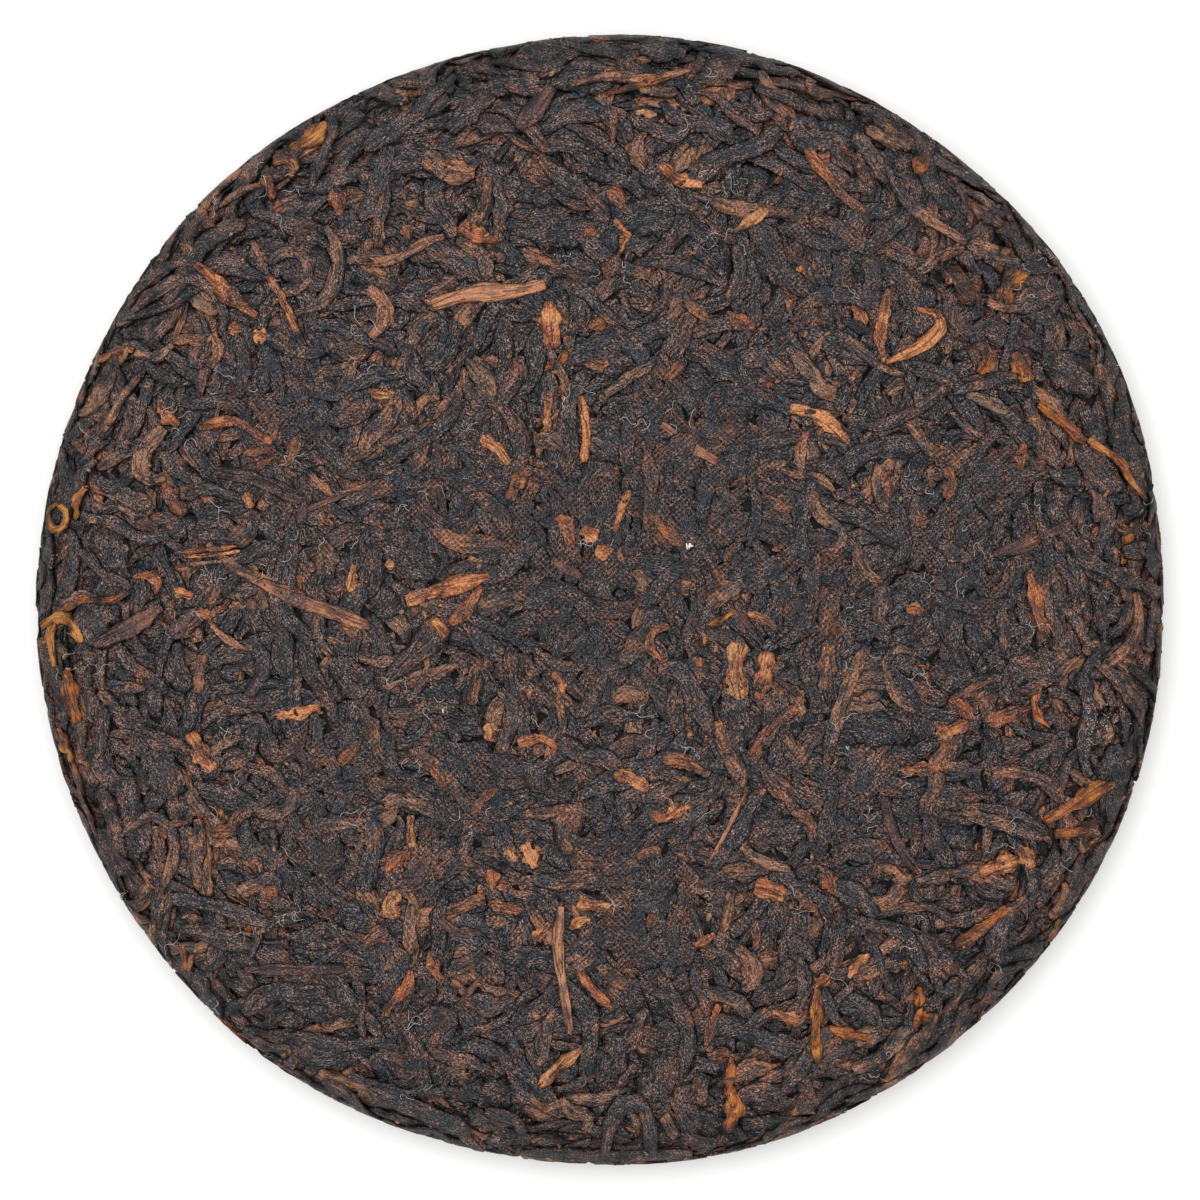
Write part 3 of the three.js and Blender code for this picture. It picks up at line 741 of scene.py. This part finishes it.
# The seen leaves of a batch as a part for joinedMesh.
def finishedPart(face, pile, levels, batch, chosen):
    template = batch["template"]
    a, b, raw = (batch[key][chosen] for key in ("a", "b", "raw"))
    lift = pressed(face, pile, levels, a, b, raw)
    corners = setOnFace(face, a, b, lift)
    if face["side"] < 0:
        corners[..., 2] = np.maximum(corners[..., 2], underLeast)
    way = np.hypot(a, b)
    crushing = crush(a, b)
    unfaded = 1 - (way - clothPrint["from"]) / clothPrint["over"]
    cloth = np.clip((lift + clothPrint["deepest"]) / clothPrint["fade"], 0, 1)
    cloth = cloth * np.clip(unfaded, clothPrint["least"], 1)
    cloth = cloth * (clothPrint["uncrushed"] + (1 - clothPrint["uncrushed"]) * crushing)
    # Painted shade: dark at the leaf's edges and on its underside, less so where crushed, and darker all
    # over near the rim.
    clearOfShade = np.ones(len(template["across"])) - np.abs(template["across"]) ** 6
    clearOfShade[template["topSides"] :] = 0
    clearOfShade = 1 - (1 - clearOfShade) * (1 - crushLook["edges"] * crushing)
    clearOfShade = clearOfShade * (1 - paintedRimShade["darkness"] * np.clip((way - paintedRimShade["from"]) / paintedRimShade["over"], 0, 1))
    tone = np.broadcast_to(batch["tone"][chosen][:, None, None], a.shape)
    ownCast = random.random((tone.shape[0], 1, 1))
    cast = ownCast * (1 - crushLook["castShare"] * crushing) + crushLook["cast"] * crushing
    if batch["kind"] in darkKinds:
        tone = tone + (crushLook["tone"] - tone) * crushLook["toneShare"] * crushing
    looks = np.stack([tone, cloth, np.broadcast_to(clearOfShade, a.shape), cast], axis=-1)
    runs = np.stack([batch["along"][chosen], batch["asideRun"][chosen]], axis=-1)
    ring, side = template["ring"], template["side"]
    return {
        "corners": corners[:, ring, side],
        "runs": runs[:, ring, side],
        "looks": looks[:, ring, side],
        "loops": template["loops"],
        "sizes": template["sizes"],
    }


# Adds a node with its settings, its links and, on a ramp, its stops. Its inputs are named or else in
# order, and what comes back is one of its outputs.
def addNode(tree, kind, inputs=(), output=0, stops=(), **settings):
    node = tree.nodes.new("ShaderNode" + kind)
    for name, value in settings.items():
        setattr(node, name, value)
    for socket, value in inputs.items() if isinstance(inputs, dict) else enumerate(inputs):
        if isinstance(value, bpy.types.NodeSocket):
            tree.links.new(value, node.inputs[socket])
        else:
            node.inputs[socket].default_value = value
    for i, (at, colour) in enumerate(stops):
        ramp = node.color_ramp.elements
        stop = ramp[i] if i < 2 else ramp.new(at)
        stop.position, stop.color = at, colour
    return node.outputs[output]


def linear(code):
    parts = [int(code[i : i + 2], 16) / 255 for i in (1, 3, 5)]
    return (*[p / 12.92 if p <= 0.04045 else ((p + 0.055) / 1.055) ** 2.4 for p in parts], 1.0)


def perMetre(size):
    return 1 / (size * mm)


# Rolled, fermented tea leaf: nearly black with a cool shine on its ridges, browner where it is
# thin, finely wrinkled along its length, with the dull print of the pressing cloth where it is high.
# A golden leaf is a bud, an amber one is a glossier and more orange bud, and a stem is redder, with
# longer wrinkles. The ramp runs from the darkest to the palest; fleck is the contrast of the fibres
# and print the strength of the cloth's dots, in the relief and in their painted shade. Rust is how
# much of the leaf has gone rusty in small spots, and cast how far one leaf differs in hue from the
# next. Crumple is how short its wrinkles and cracks are, and uneven how far its tone wanders.
darkRamp = ["#242528", "#2d2c2e", "#393131", "#4a3a34", "#70503d"]
leafLooks = {
    "charcoal": {"ramp": darkRamp, "rough": (0.42, 0.66), "fleck": 0.58, "print": 0.7, "rust": 0.31,
                 "rustColour": "#7e4b2b", "cast": 1.0, "crumple": 0.17, "uneven": 1.0},
    "umber": {"ramp": ["#28272a", "#332e2e", "#423532", "#5a4437", "#845f47"], "rough": (0.45, 0.7),
              "fleck": 0.58, "print": 0.65, "rust": 0.45, "rustColour": "#87532f", "cast": 0.8,
              "crumple": 0.17, "uneven": 1.0},
    "broad": {"ramp": darkRamp, "rough": (0.45, 0.7), "fleck": 0.58, "print": 0.78, "rust": 0.31,
              "rustColour": "#7e4b2b", "cast": 1.0, "crumple": 0.22, "uneven": 1.0},
    "golden": {"ramp": ["#4c3328", "#66432f", "#804a2e", "#9b6038", "#b88254"], "rough": (0.5, 0.75),
               "fleck": 0.55, "print": 0.35, "rust": 0.6, "rustColour": "#7c4426", "cast": 0.7,
               "crumple": 0.17, "uneven": 1.0},
    "amber": {"ramp": ["#34241c", "#58351d", "#80471f", "#9f5d27", "#b67a3b"], "rough": (0.45, 0.7),
              "fleck": 0.35, "print": 0.15, "rust": 0.5, "rustColour": "#8a4a16", "cast": 0.3,
              "crumple": 0.17, "uneven": 1.0},
    "stem": {"ramp": ["#251f22", "#382b2c", "#523b37", "#7d5342", "#b07a58"], "rough": (0.45, 0.66),
             "fleck": 0.42, "print": 0.1, "rust": 0.28, "rustColour": "#85492f", "cast": 0.35,
             "crumple": 0.1, "uneven": 0.5},
    "crumbled": {"ramp": ["#252224", "#352b2a", "#4a3a30", "#6d4b36", "#967050"], "rough": (0.5, 0.75),
                 "fleck": 0.58, "print": 0.0, "rust": 0.3, "rustColour": "#89522e", "cast": 0.0,
                 "crumple": 0.5, "uneven": 1.0},
}
dustColour = "#968b82"
slateCast, plumCast = (0.75, 0.95, 1.2, 1), (1.2, 0.96, 0.93, 1)

# The sizes of what shows on a leaf in mm. The fibres and the grain are coarser than the real ones, so
# that they show, and the cloth's threads are askew by a turn in radians and wavy by some mm.
detail = {"wrinkle": 0.6, "crack": 1.5, "fibre": 0.21, "grain": 0.25, "spot": 2.4, "patch": 4.5}
weave = {"thread": 0.74, "turn": 0.85, "waviness": 0.8}


def newMaterial(name):
    material = bpy.data.materials.new(name)
    material.use_nodes = True
    tree = material.node_tree
    return material, tree, tree.nodes["Principled BSDF"]


def leafMaterial(name, look):
    material, tree, shader = newMaterial(name)
    marks = addNode(tree, "Attribute", attribute_name="leafLook")
    ownCast = marks.node.outputs["Alpha"]
    tone, cloth, clearOfShade = addNode(tree, "SeparateColor", (marks,)).node.outputs
    leafRun = addNode(tree, "UVMap", uv_map="leafRun")
    place = addNode(tree, "TexCoord", output="Object")
    alongLeaf = {}
    for part, squeeze in (("wrinkle", look["crumple"]), ("crack", look["crumple"]), ("fibre", 0.4)):
        scale = (squeeze / detail[part], 1 / detail[part], 1)
        alongLeaf[part] = addNode(tree, "Mapping", {"Vector": leafRun, "Scale": scale})
    wrinkles = addNode(tree, "TexNoise", {"Vector": alongLeaf["wrinkle"], "Scale": 1.0, "Detail": 3.0,
                                          "Roughness": 0.6}, noise_dimensions="2D")
    fleck = addNode(tree, "TexNoise", {"Vector": alongLeaf["fibre"], "Scale": 1.0, "Detail": 1.0,
                                       "Roughness": 0.8}, noise_dimensions="2D")
    grain = addNode(tree, "TexNoise", {"Vector": place, "Scale": perMetre(detail["grain"]), "Detail": 1.0,
                                       "Roughness": 0.7})
    patches = addNode(tree, "TexNoise", {"Vector": place, "Scale": perMetre(detail["patch"]),
                                         "Detail": 2.0, "Roughness": 0.65})
    spots = addNode(tree, "TexNoise", {"Vector": place, "Scale": perMetre(detail["spot"]), "Detail": 1.0,
                                       "Roughness": 0.55})
    # Cracks run along the leaf and part its ridges, where it isn't crushed smooth. The cracks get painted
    # shade as well as lying low in the relief.
    bent = addNode(tree, "VectorMath", (wrinkles, (1.1, 1.1, 0), alongLeaf["crack"]),
                   operation="MULTIPLY_ADD")
    crackAway = addNode(tree, "TexVoronoi", {"Vector": bent, "Scale": 1.0}, feature="DISTANCE_TO_EDGE",
                        voronoi_dimensions="2D")
    calm = addNode(tree, "MapRange", (cloth, 0.6, 1.0, 0.0, 0.8))
    uncracked = addNode(tree, "MapRange", (crackAway, 0.0, 0.07, 0.0, 1.0))
    ridgesAndCrackShade = addNode(tree, "Math", (uncracked, calm), operation="MAXIMUM")
    # The tone of the leaf wanders with larger patches and its wrinkles.
    patchy = addNode(tree, "Math", (patches, 3.2, wrinkles), operation="MULTIPLY_ADD")
    wander = addNode(tree, "MapRange", (patchy, 1.6, 2.6, -0.34, 0.42))
    toned = addNode(tree, "Math", (wander, look["uneven"], tone), operation="MULTIPLY_ADD")
    stops = [(0.2 * i + 0.1, linear(code)) for i, code in enumerate(look["ramp"])]
    body = addNode(tree, "ValToRGB", (toned,), stops=stops)
    # One leaf is more slate and another more plum, and neither is so all over.
    slateOrPlum = addNode(tree, "Math", (patches, 1.6, ownCast), operation="MULTIPLY_ADD")
    castShare = addNode(tree, "MapRange", (slateOrPlum, 0.5, 1.9, 0.0, 1.0))
    cast = addNode(tree, "ValToRGB", (castShare,), stops=[(0.1, slateCast), (0.9, plumCast)])
    tinted = addNode(tree, "Mix", {0: look["cast"], 6: body, 7: cast}, 2, data_type="RGBA",
                     blend_type="MULTIPLY")
    # It is rusty in spots, and more so where the cloth didn't rub it.
    rustSpots = addNode(tree, "MapRange", (spots, 0.46, 0.74, 0.0, look["rust"]))
    unrubbed = addNode(tree, "MapRange", (cloth, 0.0, 1.0, 1.1, 0.7))
    rusty = addNode(tree, "Math", (rustSpots, unrubbed), operation="MULTIPLY")
    rusted = addNode(tree, "Mix", {0: rusty, 6: tinted, 7: linear(look["rustColour"])}, 2,
                     data_type="RGBA")
    # Some of the fine fibres along the leaf are pale with dust, and so is some of its grain, more in
    # some places than in others.
    paleFleck = addNode(tree, "MapRange", (fleck, 0.56, 0.76, 0.0, 0.65 * look["fleck"]))
    paleGrain = addNode(tree, "MapRange", (grain, 0.55, 0.76, 0.0, 0.6 * look["fleck"]))
    palest = addNode(tree, "Math", (paleFleck, paleGrain), operation="MAXIMUM")
    livelySpots = addNode(tree, "MapRange", (spots, 0.36, 0.66, 0.4, 1.25))
    livelyCloth = addNode(tree, "MapRange", (cloth, 0.6, 1.0, 1.05, 0.8))
    lively = addNode(tree, "Math", (livelySpots, livelyCloth), operation="MULTIPLY")
    dusty = addNode(tree, "Math", (palest, lively), operation="MULTIPLY")
    fibrous = addNode(tree, "Mix", {0: dusty, 6: rusted, 7: linear(dustColour)}, 2, data_type="RGBA")
    # Painted glints and the painted shade of tiny pits make it neutrally lighter and darker still.
    bothGrains = addNode(tree, "Math", (fleck, grain), operation="ADD")
    glints = addNode(tree, "MapRange", (bothGrains, 0.5, 1.5, -0.19 * look["fleck"], 0.19 * look["fleck"]))
    livelyGlints = addNode(tree, "Math", (glints, lively), operation="MULTIPLY")
    glinting = addNode(tree, "VectorMath", (fibrous, livelyGlints), operation="ADD")
    grainy = addNode(tree, "VectorMath", (glinting, (0.003, 0.003, 0.003)), operation="MAXIMUM")
    # The cloth: two sets of threads, askew and a little wavy. Their crossings press dots into the leaf,
    # with painted shade in the dents and painted light between them.
    sway = weave["waviness"] * mm
    wavy = addNode(tree, "VectorMath", (patches, (sway, sway, 0), place), operation="MULTIPLY_ADD")
    askew = addNode(tree, "Mapping", {"Vector": wavy, "Rotation": (0, 0, weave["turn"])})
    dots = cloth
    for direction in "XY":
        threads = addNode(tree, "TexWave", {"Vector": askew, "Scale": 0.3142 * perMetre(weave["thread"])},
                          1, bands_direction=direction)
        dots = addNode(tree, "Math", (dots, threads), operation="MULTIPLY")
    clothPatches = addNode(tree, "MapRange", (patches, 0.4, 0.56, 0.1, 1.3))
    dots = addNode(tree, "Math", (dots, clothPatches), operation="MULTIPLY")
    # Fibres and grain are lighter and darker in colour. Wrinkles, cracks and the leaf's edges get painted
    # shade, the rim too, and the cloth's dots are painted darker in their dents and lighter between.
    # Painted shade at the leaf's edges and round the rim, broken up by patches.
    edges = addNode(tree, "Math", (patches, 1.2, clearOfShade), operation="MULTIPLY_ADD")
    shade = addNode(tree, "MapRange", (fleck, 0.32, 0.68, 1 - 0.2 * look["fleck"], 1 + 0.2 * look["fleck"]))
    for ranges in ((grain, 0.34, 0.64, 1 - 0.4 * look["fleck"], 1 + 0.2 * look["fleck"]),
                   (wrinkles, 0.34, 0.5, 0.6, 1.06), (ridgesAndCrackShade, 0.0, 1.0, 0.3, 1.03),
                   (edges, 0.45, 1.3, 0.08, 1.0),
                   (dots, 0.0, 1.0, 1 + 0.25 * look["print"], 1 - 0.9 * look["print"])):
        shade = addNode(tree, "Math", (shade, addNode(tree, "MapRange", ranges)), operation="MULTIPLY")
    shaded = addNode(tree, "VectorMath", {0: grainy, "Scale": shade}, operation="SCALE")
    # All the relief in mm: wrinkles, ridges between the cracks, grain, and the dots of the print.
    relief = addNode(tree, "Math", (dots, -0.3 * look["print"]), operation="MULTIPLY")
    for part, high in ((grain, 0.15), (ridgesAndCrackShade, 0.1), (wrinkles, 0.3)):
        relief = addNode(tree, "Math", (part, high, relief), operation="MULTIPLY_ADD")
    tree.links.new(shaded, shader.inputs["Base Color"])
    roughness = addNode(tree, "MapRange", (grain, 0.3, 0.7, *look["rough"]))
    tree.links.new(roughness, shader.inputs["Roughness"])
    bumps = addNode(tree, "Bump", {"Height": relief, "Strength": 1.0, "Distance": mm})
    tree.links.new(bumps, shader.inputs["Normal"])
    shader.inputs["Specular IOR Level"].default_value = 0.24
    return material


materials = {kind: leafMaterial(kind + "Leaf", look) for kind, look in leafLooks.items()}


# The leaves of some batches in any order.
def randomOrder(batches):
    order = [(batch, i) for batch in batches for i in range(len(batch["tone"]))]
    return [order[k] for k in random.permutation(len(order))]


def buildTop():
    strewn = strewAll(topFace, topPlan)
    marked = markedBatches(topFace)
    dark = [batch for batch in marked if batch["kind"] in darkKinds]
    pale = [batch for batch in marked if batch["kind"] not in darkKinds]
    order = randomOrder(strewn[:1]) + randomOrder(strewn[1:]) + randomOrder(dark) + randomOrder(pale)
    pile = pileUp(topFace, strewn + marked, order)
    levels = pressedLevels(pile)
    for kind in leafKinds:
        inner, outer = [], []
        for batch in strewn + marked:
            if batch["kind"] != kind:
                continue
            seen = batch["seen"] > leastSeen["top"]
            middle = topFace["rings"] // 2
            way = np.hypot(batch["a"][:, middle, 2], batch["b"][:, middle, 2])
            inner.append(finishedPart(topFace, pile, levels, batch, seen & (way < rimStart)))
            outer.append(finishedPart(topFace, pile, levels, batch, seen & (way >= rimStart)))
        if kind == "charcoal":
            joinedMesh("charcoal_leaves", inner, materials[kind])
            joinedMesh("charcoal_rim_leaves", outer, materials[kind])
        else:
            joinedMesh(kind + "_leaves", inner + outer, materials[kind])
    return pile, levels


def buildUnderside():
    strewn = strewAll(underFace, underPlan)
    pile = pileUp(underFace, strewn, randomOrder(strewn[:1]) + randomOrder(strewn[1:]))
    levels = pressedLevels(pile)
    for kind in leafKinds:
        parts = [finishedPart(underFace, pile, levels, batch, batch["seen"] > leastSeen["under"])
                 for batch in strewn if batch["kind"] == kind]
        joinedMesh("under_" + kind + "_leaves", parts, materials[kind])


topPile, topLevels = buildTop()
print("top leaves laid")
buildUnderside()
print("underside leaves laid")


# The lift of the finished top at a place, a little over the leaf that lies there.
def liftOfTop(a, b, over):
    raw = sample(topPile, topPile["height"], a, b)
    return pressed(topFace, topPile, topLevels, a, b, raw) + over


def flakeTemplate():
    bm = bmesh.new()
    bmesh.ops.create_icosphere(bm, subdivisions=1, radius=1)
    return meshArrays(bm)


# Flakes lying a little over the top at (a, b), each with its heading and how far its corners reach
# along it, across it and up.
def layFlakes(name, a, b, over, heading, reach, looks, material):
    long, wide, high = reach
    placeA = a[:, None] + long * np.cos(heading) - wide * np.sin(heading)
    placeB = b[:, None] + long * np.sin(heading) + wide * np.cos(heading)
    corners = setOnFace(topFace, placeA, placeB, liftOfTop(a, b, over)[:, None] + high)
    runs = np.stack([placeA, placeB], axis=-1)
    joinedMesh(name, [{"corners": corners, "runs": runs, "looks": looks, "loops": flakeLoops,
                       "sizes": flakeSizes}], material)


flake, flakeLoops, flakeSizes = flakeTemplate()

# Crumbs: broken leaf and bud, from dust to small flakes, lying on the leaves and between them.
crumbLook = {"count": 1600, "size": (0.2, 0.8), "flat": 0.3, "over": 0.05}


def buildCrumbs():
    count = crumbLook["count"]
    way, turn = topFace["rimWay"] * np.sqrt(random.random(count)), random.uniform(0, 2 * math.pi, count)
    low, high = crumbLook["size"]
    size = low + (high - low) * random.beta(1, 3.5, (count, 1))
    stretch, heading = random.uniform(1, 2.6, (count, 1)), random.uniform(0, 2 * math.pi, (count, 1))
    jagged = random.uniform(0.7, 1.3, (count, len(flake)))
    reach = (flake[:, 0] * size * stretch * jagged, flake[:, 1] * size * jagged,
             flake[:, 2] * size * crumbLook["flat"])
    looks = np.zeros((*jagged.shape, 4))
    looks[..., 0] = random.random((count, 1)) ** 1.5
    looks[..., 2] = 1
    looks[..., 3] = 0.5
    layFlakes("leaf_crumbs", way * np.cos(turn), way * np.sin(turn), crumbLook["over"], heading, reach,
              looks, materials["crumbled"])


# A finish that wanders between two colours with its grain and, where it is marked, with the numbers on
# the mesh.
def speckledMaterial(name, look, isMarked=False):
    material, tree, shader = newMaterial(name)
    place = addNode(tree, "TexCoord", output="Object")
    grain = addNode(tree, "TexNoise", {"Vector": place, "Scale": perMetre(look["grain"]),
                                       "Detail": look["detail"]})
    share = grain
    if isMarked:
        mark = addNode(tree, "Attribute", output="Fac", attribute_name="leafLook")
        share = addNode(tree, "Math", (mark, 0.85, grain), operation="MULTIPLY_ADD")
    stops = [(at, linear(code)) for at, code in look["stops"]]
    tree.links.new(addNode(tree, "ValToRGB", (share,), stops=stops), shader.inputs["Base Color"])
    if look["bump"]:
        bumps = addNode(tree, "Bump", {"Height": grain, "Distance": look["bump"] * mm})
        tree.links.new(bumps, shader.inputs["Normal"])
    shader.inputs["Roughness"].default_value = look["rough"]
    return material


# Fine pale down from the buds, curled on the surface in loose tufts.
hairLook = {"tufts": 100, "each": 3, "spread": 1.6, "length": (1.2, 6), "width": 0.065, "over": 0.12,
            "stops": [(0.3, "#857a70"), (0.6, "#d0c9c0")], "grain": 2.0, "detail": 2.0, "bump": 0,
            "rough": 0.6}


def buildHairs():
    template = tubeTemplate(12, 2)
    tufts, each = hairLook["tufts"], hairLook["each"]
    count = tufts * each
    way, turn = topFace["rimWay"] * np.sqrt(random.random(tufts)), random.uniform(0, 2 * math.pi, tufts)
    low, high = hairLook["length"]
    hairs = {
        "a": np.repeat(way * np.cos(turn), each) + random.normal(0, hairLook["spread"], count),
        "b": np.repeat(way * np.sin(turn), each) + random.normal(0, hairLook["spread"], count),
        "heading": random.uniform(0, 2 * math.pi, count),
        "length": low + (high - low) * random.beta(1.3, 3, count),
        "bend": random.normal(0, 1.6, count),
        "hook": random.normal(0, 1.2, count),
    }
    a, b = middleLines(hairs, template["rings"], 40)
    lift = liftOfTop(a, b, hairLook["over"])
    lift = np.maximum(lift, smoothed(lift.T).T)
    run = np.stack([np.gradient(a, axis=1), np.gradient(b, axis=1)])
    run /= np.hypot(*run)
    aside = template["across"] * hairLook["width"] / 2
    up = np.array([0.5, 0.5, -0.5]) * hairLook["width"]
    placeA = a[:, :, None] - run[1][:, :, None] * aside
    placeB = b[:, :, None] + run[0][:, :, None] * aside
    corners = setOnFace(topFace, placeA, placeB, lift[:, :, None] + up)
    corners = corners[:, template["ring"], template["side"]]
    part = {"corners": corners, "runs": corners[..., :2], "looks": np.ones((*corners.shape[:2], 4)),
            "loops": template["loops"], "sizes": template["sizes"]}
    joinedMesh("leaf_hairs", [part], speckledMaterial("budDown", hairLook))


# Flecks that the photograph shows: where, over how many pixels, how many, how large in mm, and how
# green (0) or white (1): tufts of down, crystals whose white is partly their own and partly a painted
# glint, and one green speck.
markedFlecks = [(689, 545, 2, 3, 0.9, 1.0), (443, 711, 0, 1, 0.5, 0.9), (848, 748, 1, 2, 0.5, 0.0),
                (1106, 720, 9, 60, 0.13, 1.0), (895, 955, 11, 30, 0.12, 1.0), (1052, 655, 12, 16, 0.1, 1.0)]
fleckLook = {"over": 0.06, "stops": [(0.6, "#7fa896"), (1.0, "#dcd8d2")], "grain": 0.5, "detail": 2.0,
             "bump": 0, "rough": 0.5}


def buildFlecks():
    count = np.array([fleck[3] for fleck in markedFlecks])
    columns = np.repeat(np.array(markedFlecks), count, axis=0).T
    x, y, spread, _, size, white = columns
    total = count.sum()
    a, b = fromPhoto(topFace, np.stack([x, y], axis=1) + spread[:, None] * random.normal(0, 1, (total, 2)))
    size = (size * random.uniform(0.5, 1, total))[:, None]
    heading = random.uniform(0, math.pi, (total, 1))
    jagged = random.uniform(0.5, 1.4, (total, len(flake)))
    reach = flake[:, 0] * size * 1.5 * jagged, flake[:, 1] * size * 0.5 * jagged, flake[:, 2] * size * 0.3
    looks = np.ones((*jagged.shape, 4)) * white[:, None, None]
    layFlakes("pale_flecks_and_glints", a, b, fleckLook["over"], heading, reach, looks,
              speckledMaterial("paleFleck", fleckLook, True))


buildCrumbs()
buildFlecks()
buildHairs()
print("crumbs, flecks and hairs laid")

# The bed of broken leaf under the mat: dull, and nearly black as painted shade, seen only down the gaps.
bedLook = {"inset": 1.4, "each": 8, "steps": 96, "stops": [(0.3, "#0f0e10"), (0.75, "#2a211d")],
           "grain": 1.2, "detail": 4.0, "bump": 0.6, "rough": 0.85}


def buildBed():
    way = topFace["way"][:: bedLook["each"]]
    profile = setOnFace(topFace, way, 0 * way, -bedLook["inset"] - 0 * way)
    profile[:, 1] = 0
    profile[:, 0] = np.maximum(profile[:, 0], 0)
    profile[[0, -1], 0] = 0
    bm = bmesh.new()
    verts = [bm.verts.new(point * mm) for point in profile]
    edges = [bm.edges.new(pair) for pair in zip(verts, verts[1:])]
    bmesh.ops.spin(bm, geom=verts + edges, cent=(0, 0, 0), axis=(0, 0, 1), angle=2 * math.pi,
                   steps=bedLook["steps"], use_merge=True)
    bmesh.ops.remove_doubles(bm, verts=bm.verts, dist=0.01 * mm)
    bmesh.ops.recalc_face_normals(bm, faces=bm.faces)
    mesh = bpy.data.meshes.new("leaf_bed")
    bm.to_mesh(mesh)
    bm.free()
    mesh.materials.append(speckledMaterial("brokenLeafInPaintedShade", bedLook))
    addPiece("leaf_bed", mesh)


buildBed()
print("bed made")


# A plain white table, and soft light from all round with a little more from the upper left.
studio = {"tableSize": 4000, "tableColour": "#fdfdfb", "skyStrength": 0.8, "keyPower": 19, "keySize": 1.8,
          "keyPlace": (-0.25, 0.3, 1.6)}


def buildStudio():
    bm = bmesh.new()
    bmesh.ops.create_grid(bm, x_segments=1, y_segments=1, size=studio["tableSize"] / 2 * mm)
    mesh = bpy.data.meshes.new("table")
    bm.to_mesh(mesh)
    bm.free()
    paper, _, shader = newMaterial("mattePaper")
    shader.inputs["Base Color"].default_value = linear(studio["tableColour"])
    shader.inputs["Roughness"].default_value = 0.9
    mesh.materials.append(paper)
    table = bpy.data.objects.new("table", mesh)
    bpy.context.scene.collection.objects.link(table)
    world = bpy.data.worlds.new("studio")
    world.use_nodes = True
    world.node_tree.nodes["Background"].inputs["Strength"].default_value = studio["skyStrength"]
    world.node_tree.nodes["Background"].inputs["Color"].default_value = linear("#ffffff")
    bpy.context.scene.world = world
    lamp = bpy.data.lights.new("softbox", "AREA")
    lamp.energy = studio["keyPower"]
    lamp.size = studio["keySize"]
    softbox = bpy.data.objects.new("softbox", lamp)
    softbox.location = studio["keyPlace"]
    x, y, z = studio["keyPlace"]
    softbox.rotation_euler = (math.atan2(math.hypot(x, y), z), 0, math.atan2(y, x) + math.pi / 2)
    bpy.context.scene.collection.objects.link(softbox)


def buildCamera():
    data = bpy.data.cameras.new("camera")
    data.lens = view["lens"]
    data.sensor_width = view["sensor"]
    data.clip_end = 20
    camera = bpy.data.objects.new("camera", data)
    middle = photo["pixels"] / 2
    x = (middle - photo["middle"][0]) * photo["pixelSize"]
    y = (photo["middle"][1] - middle) * photo["pixelSize"]
    camera.location = (x * mm, y * mm, (viewDistance + cakeForm["rimHeight"]) * mm)
    bpy.context.scene.collection.objects.link(camera)
    bpy.context.scene.camera = camera


buildStudio()
buildCamera()
bpy.context.scene.view_settings.view_transform = "Standard"
print("studio and camera ready")
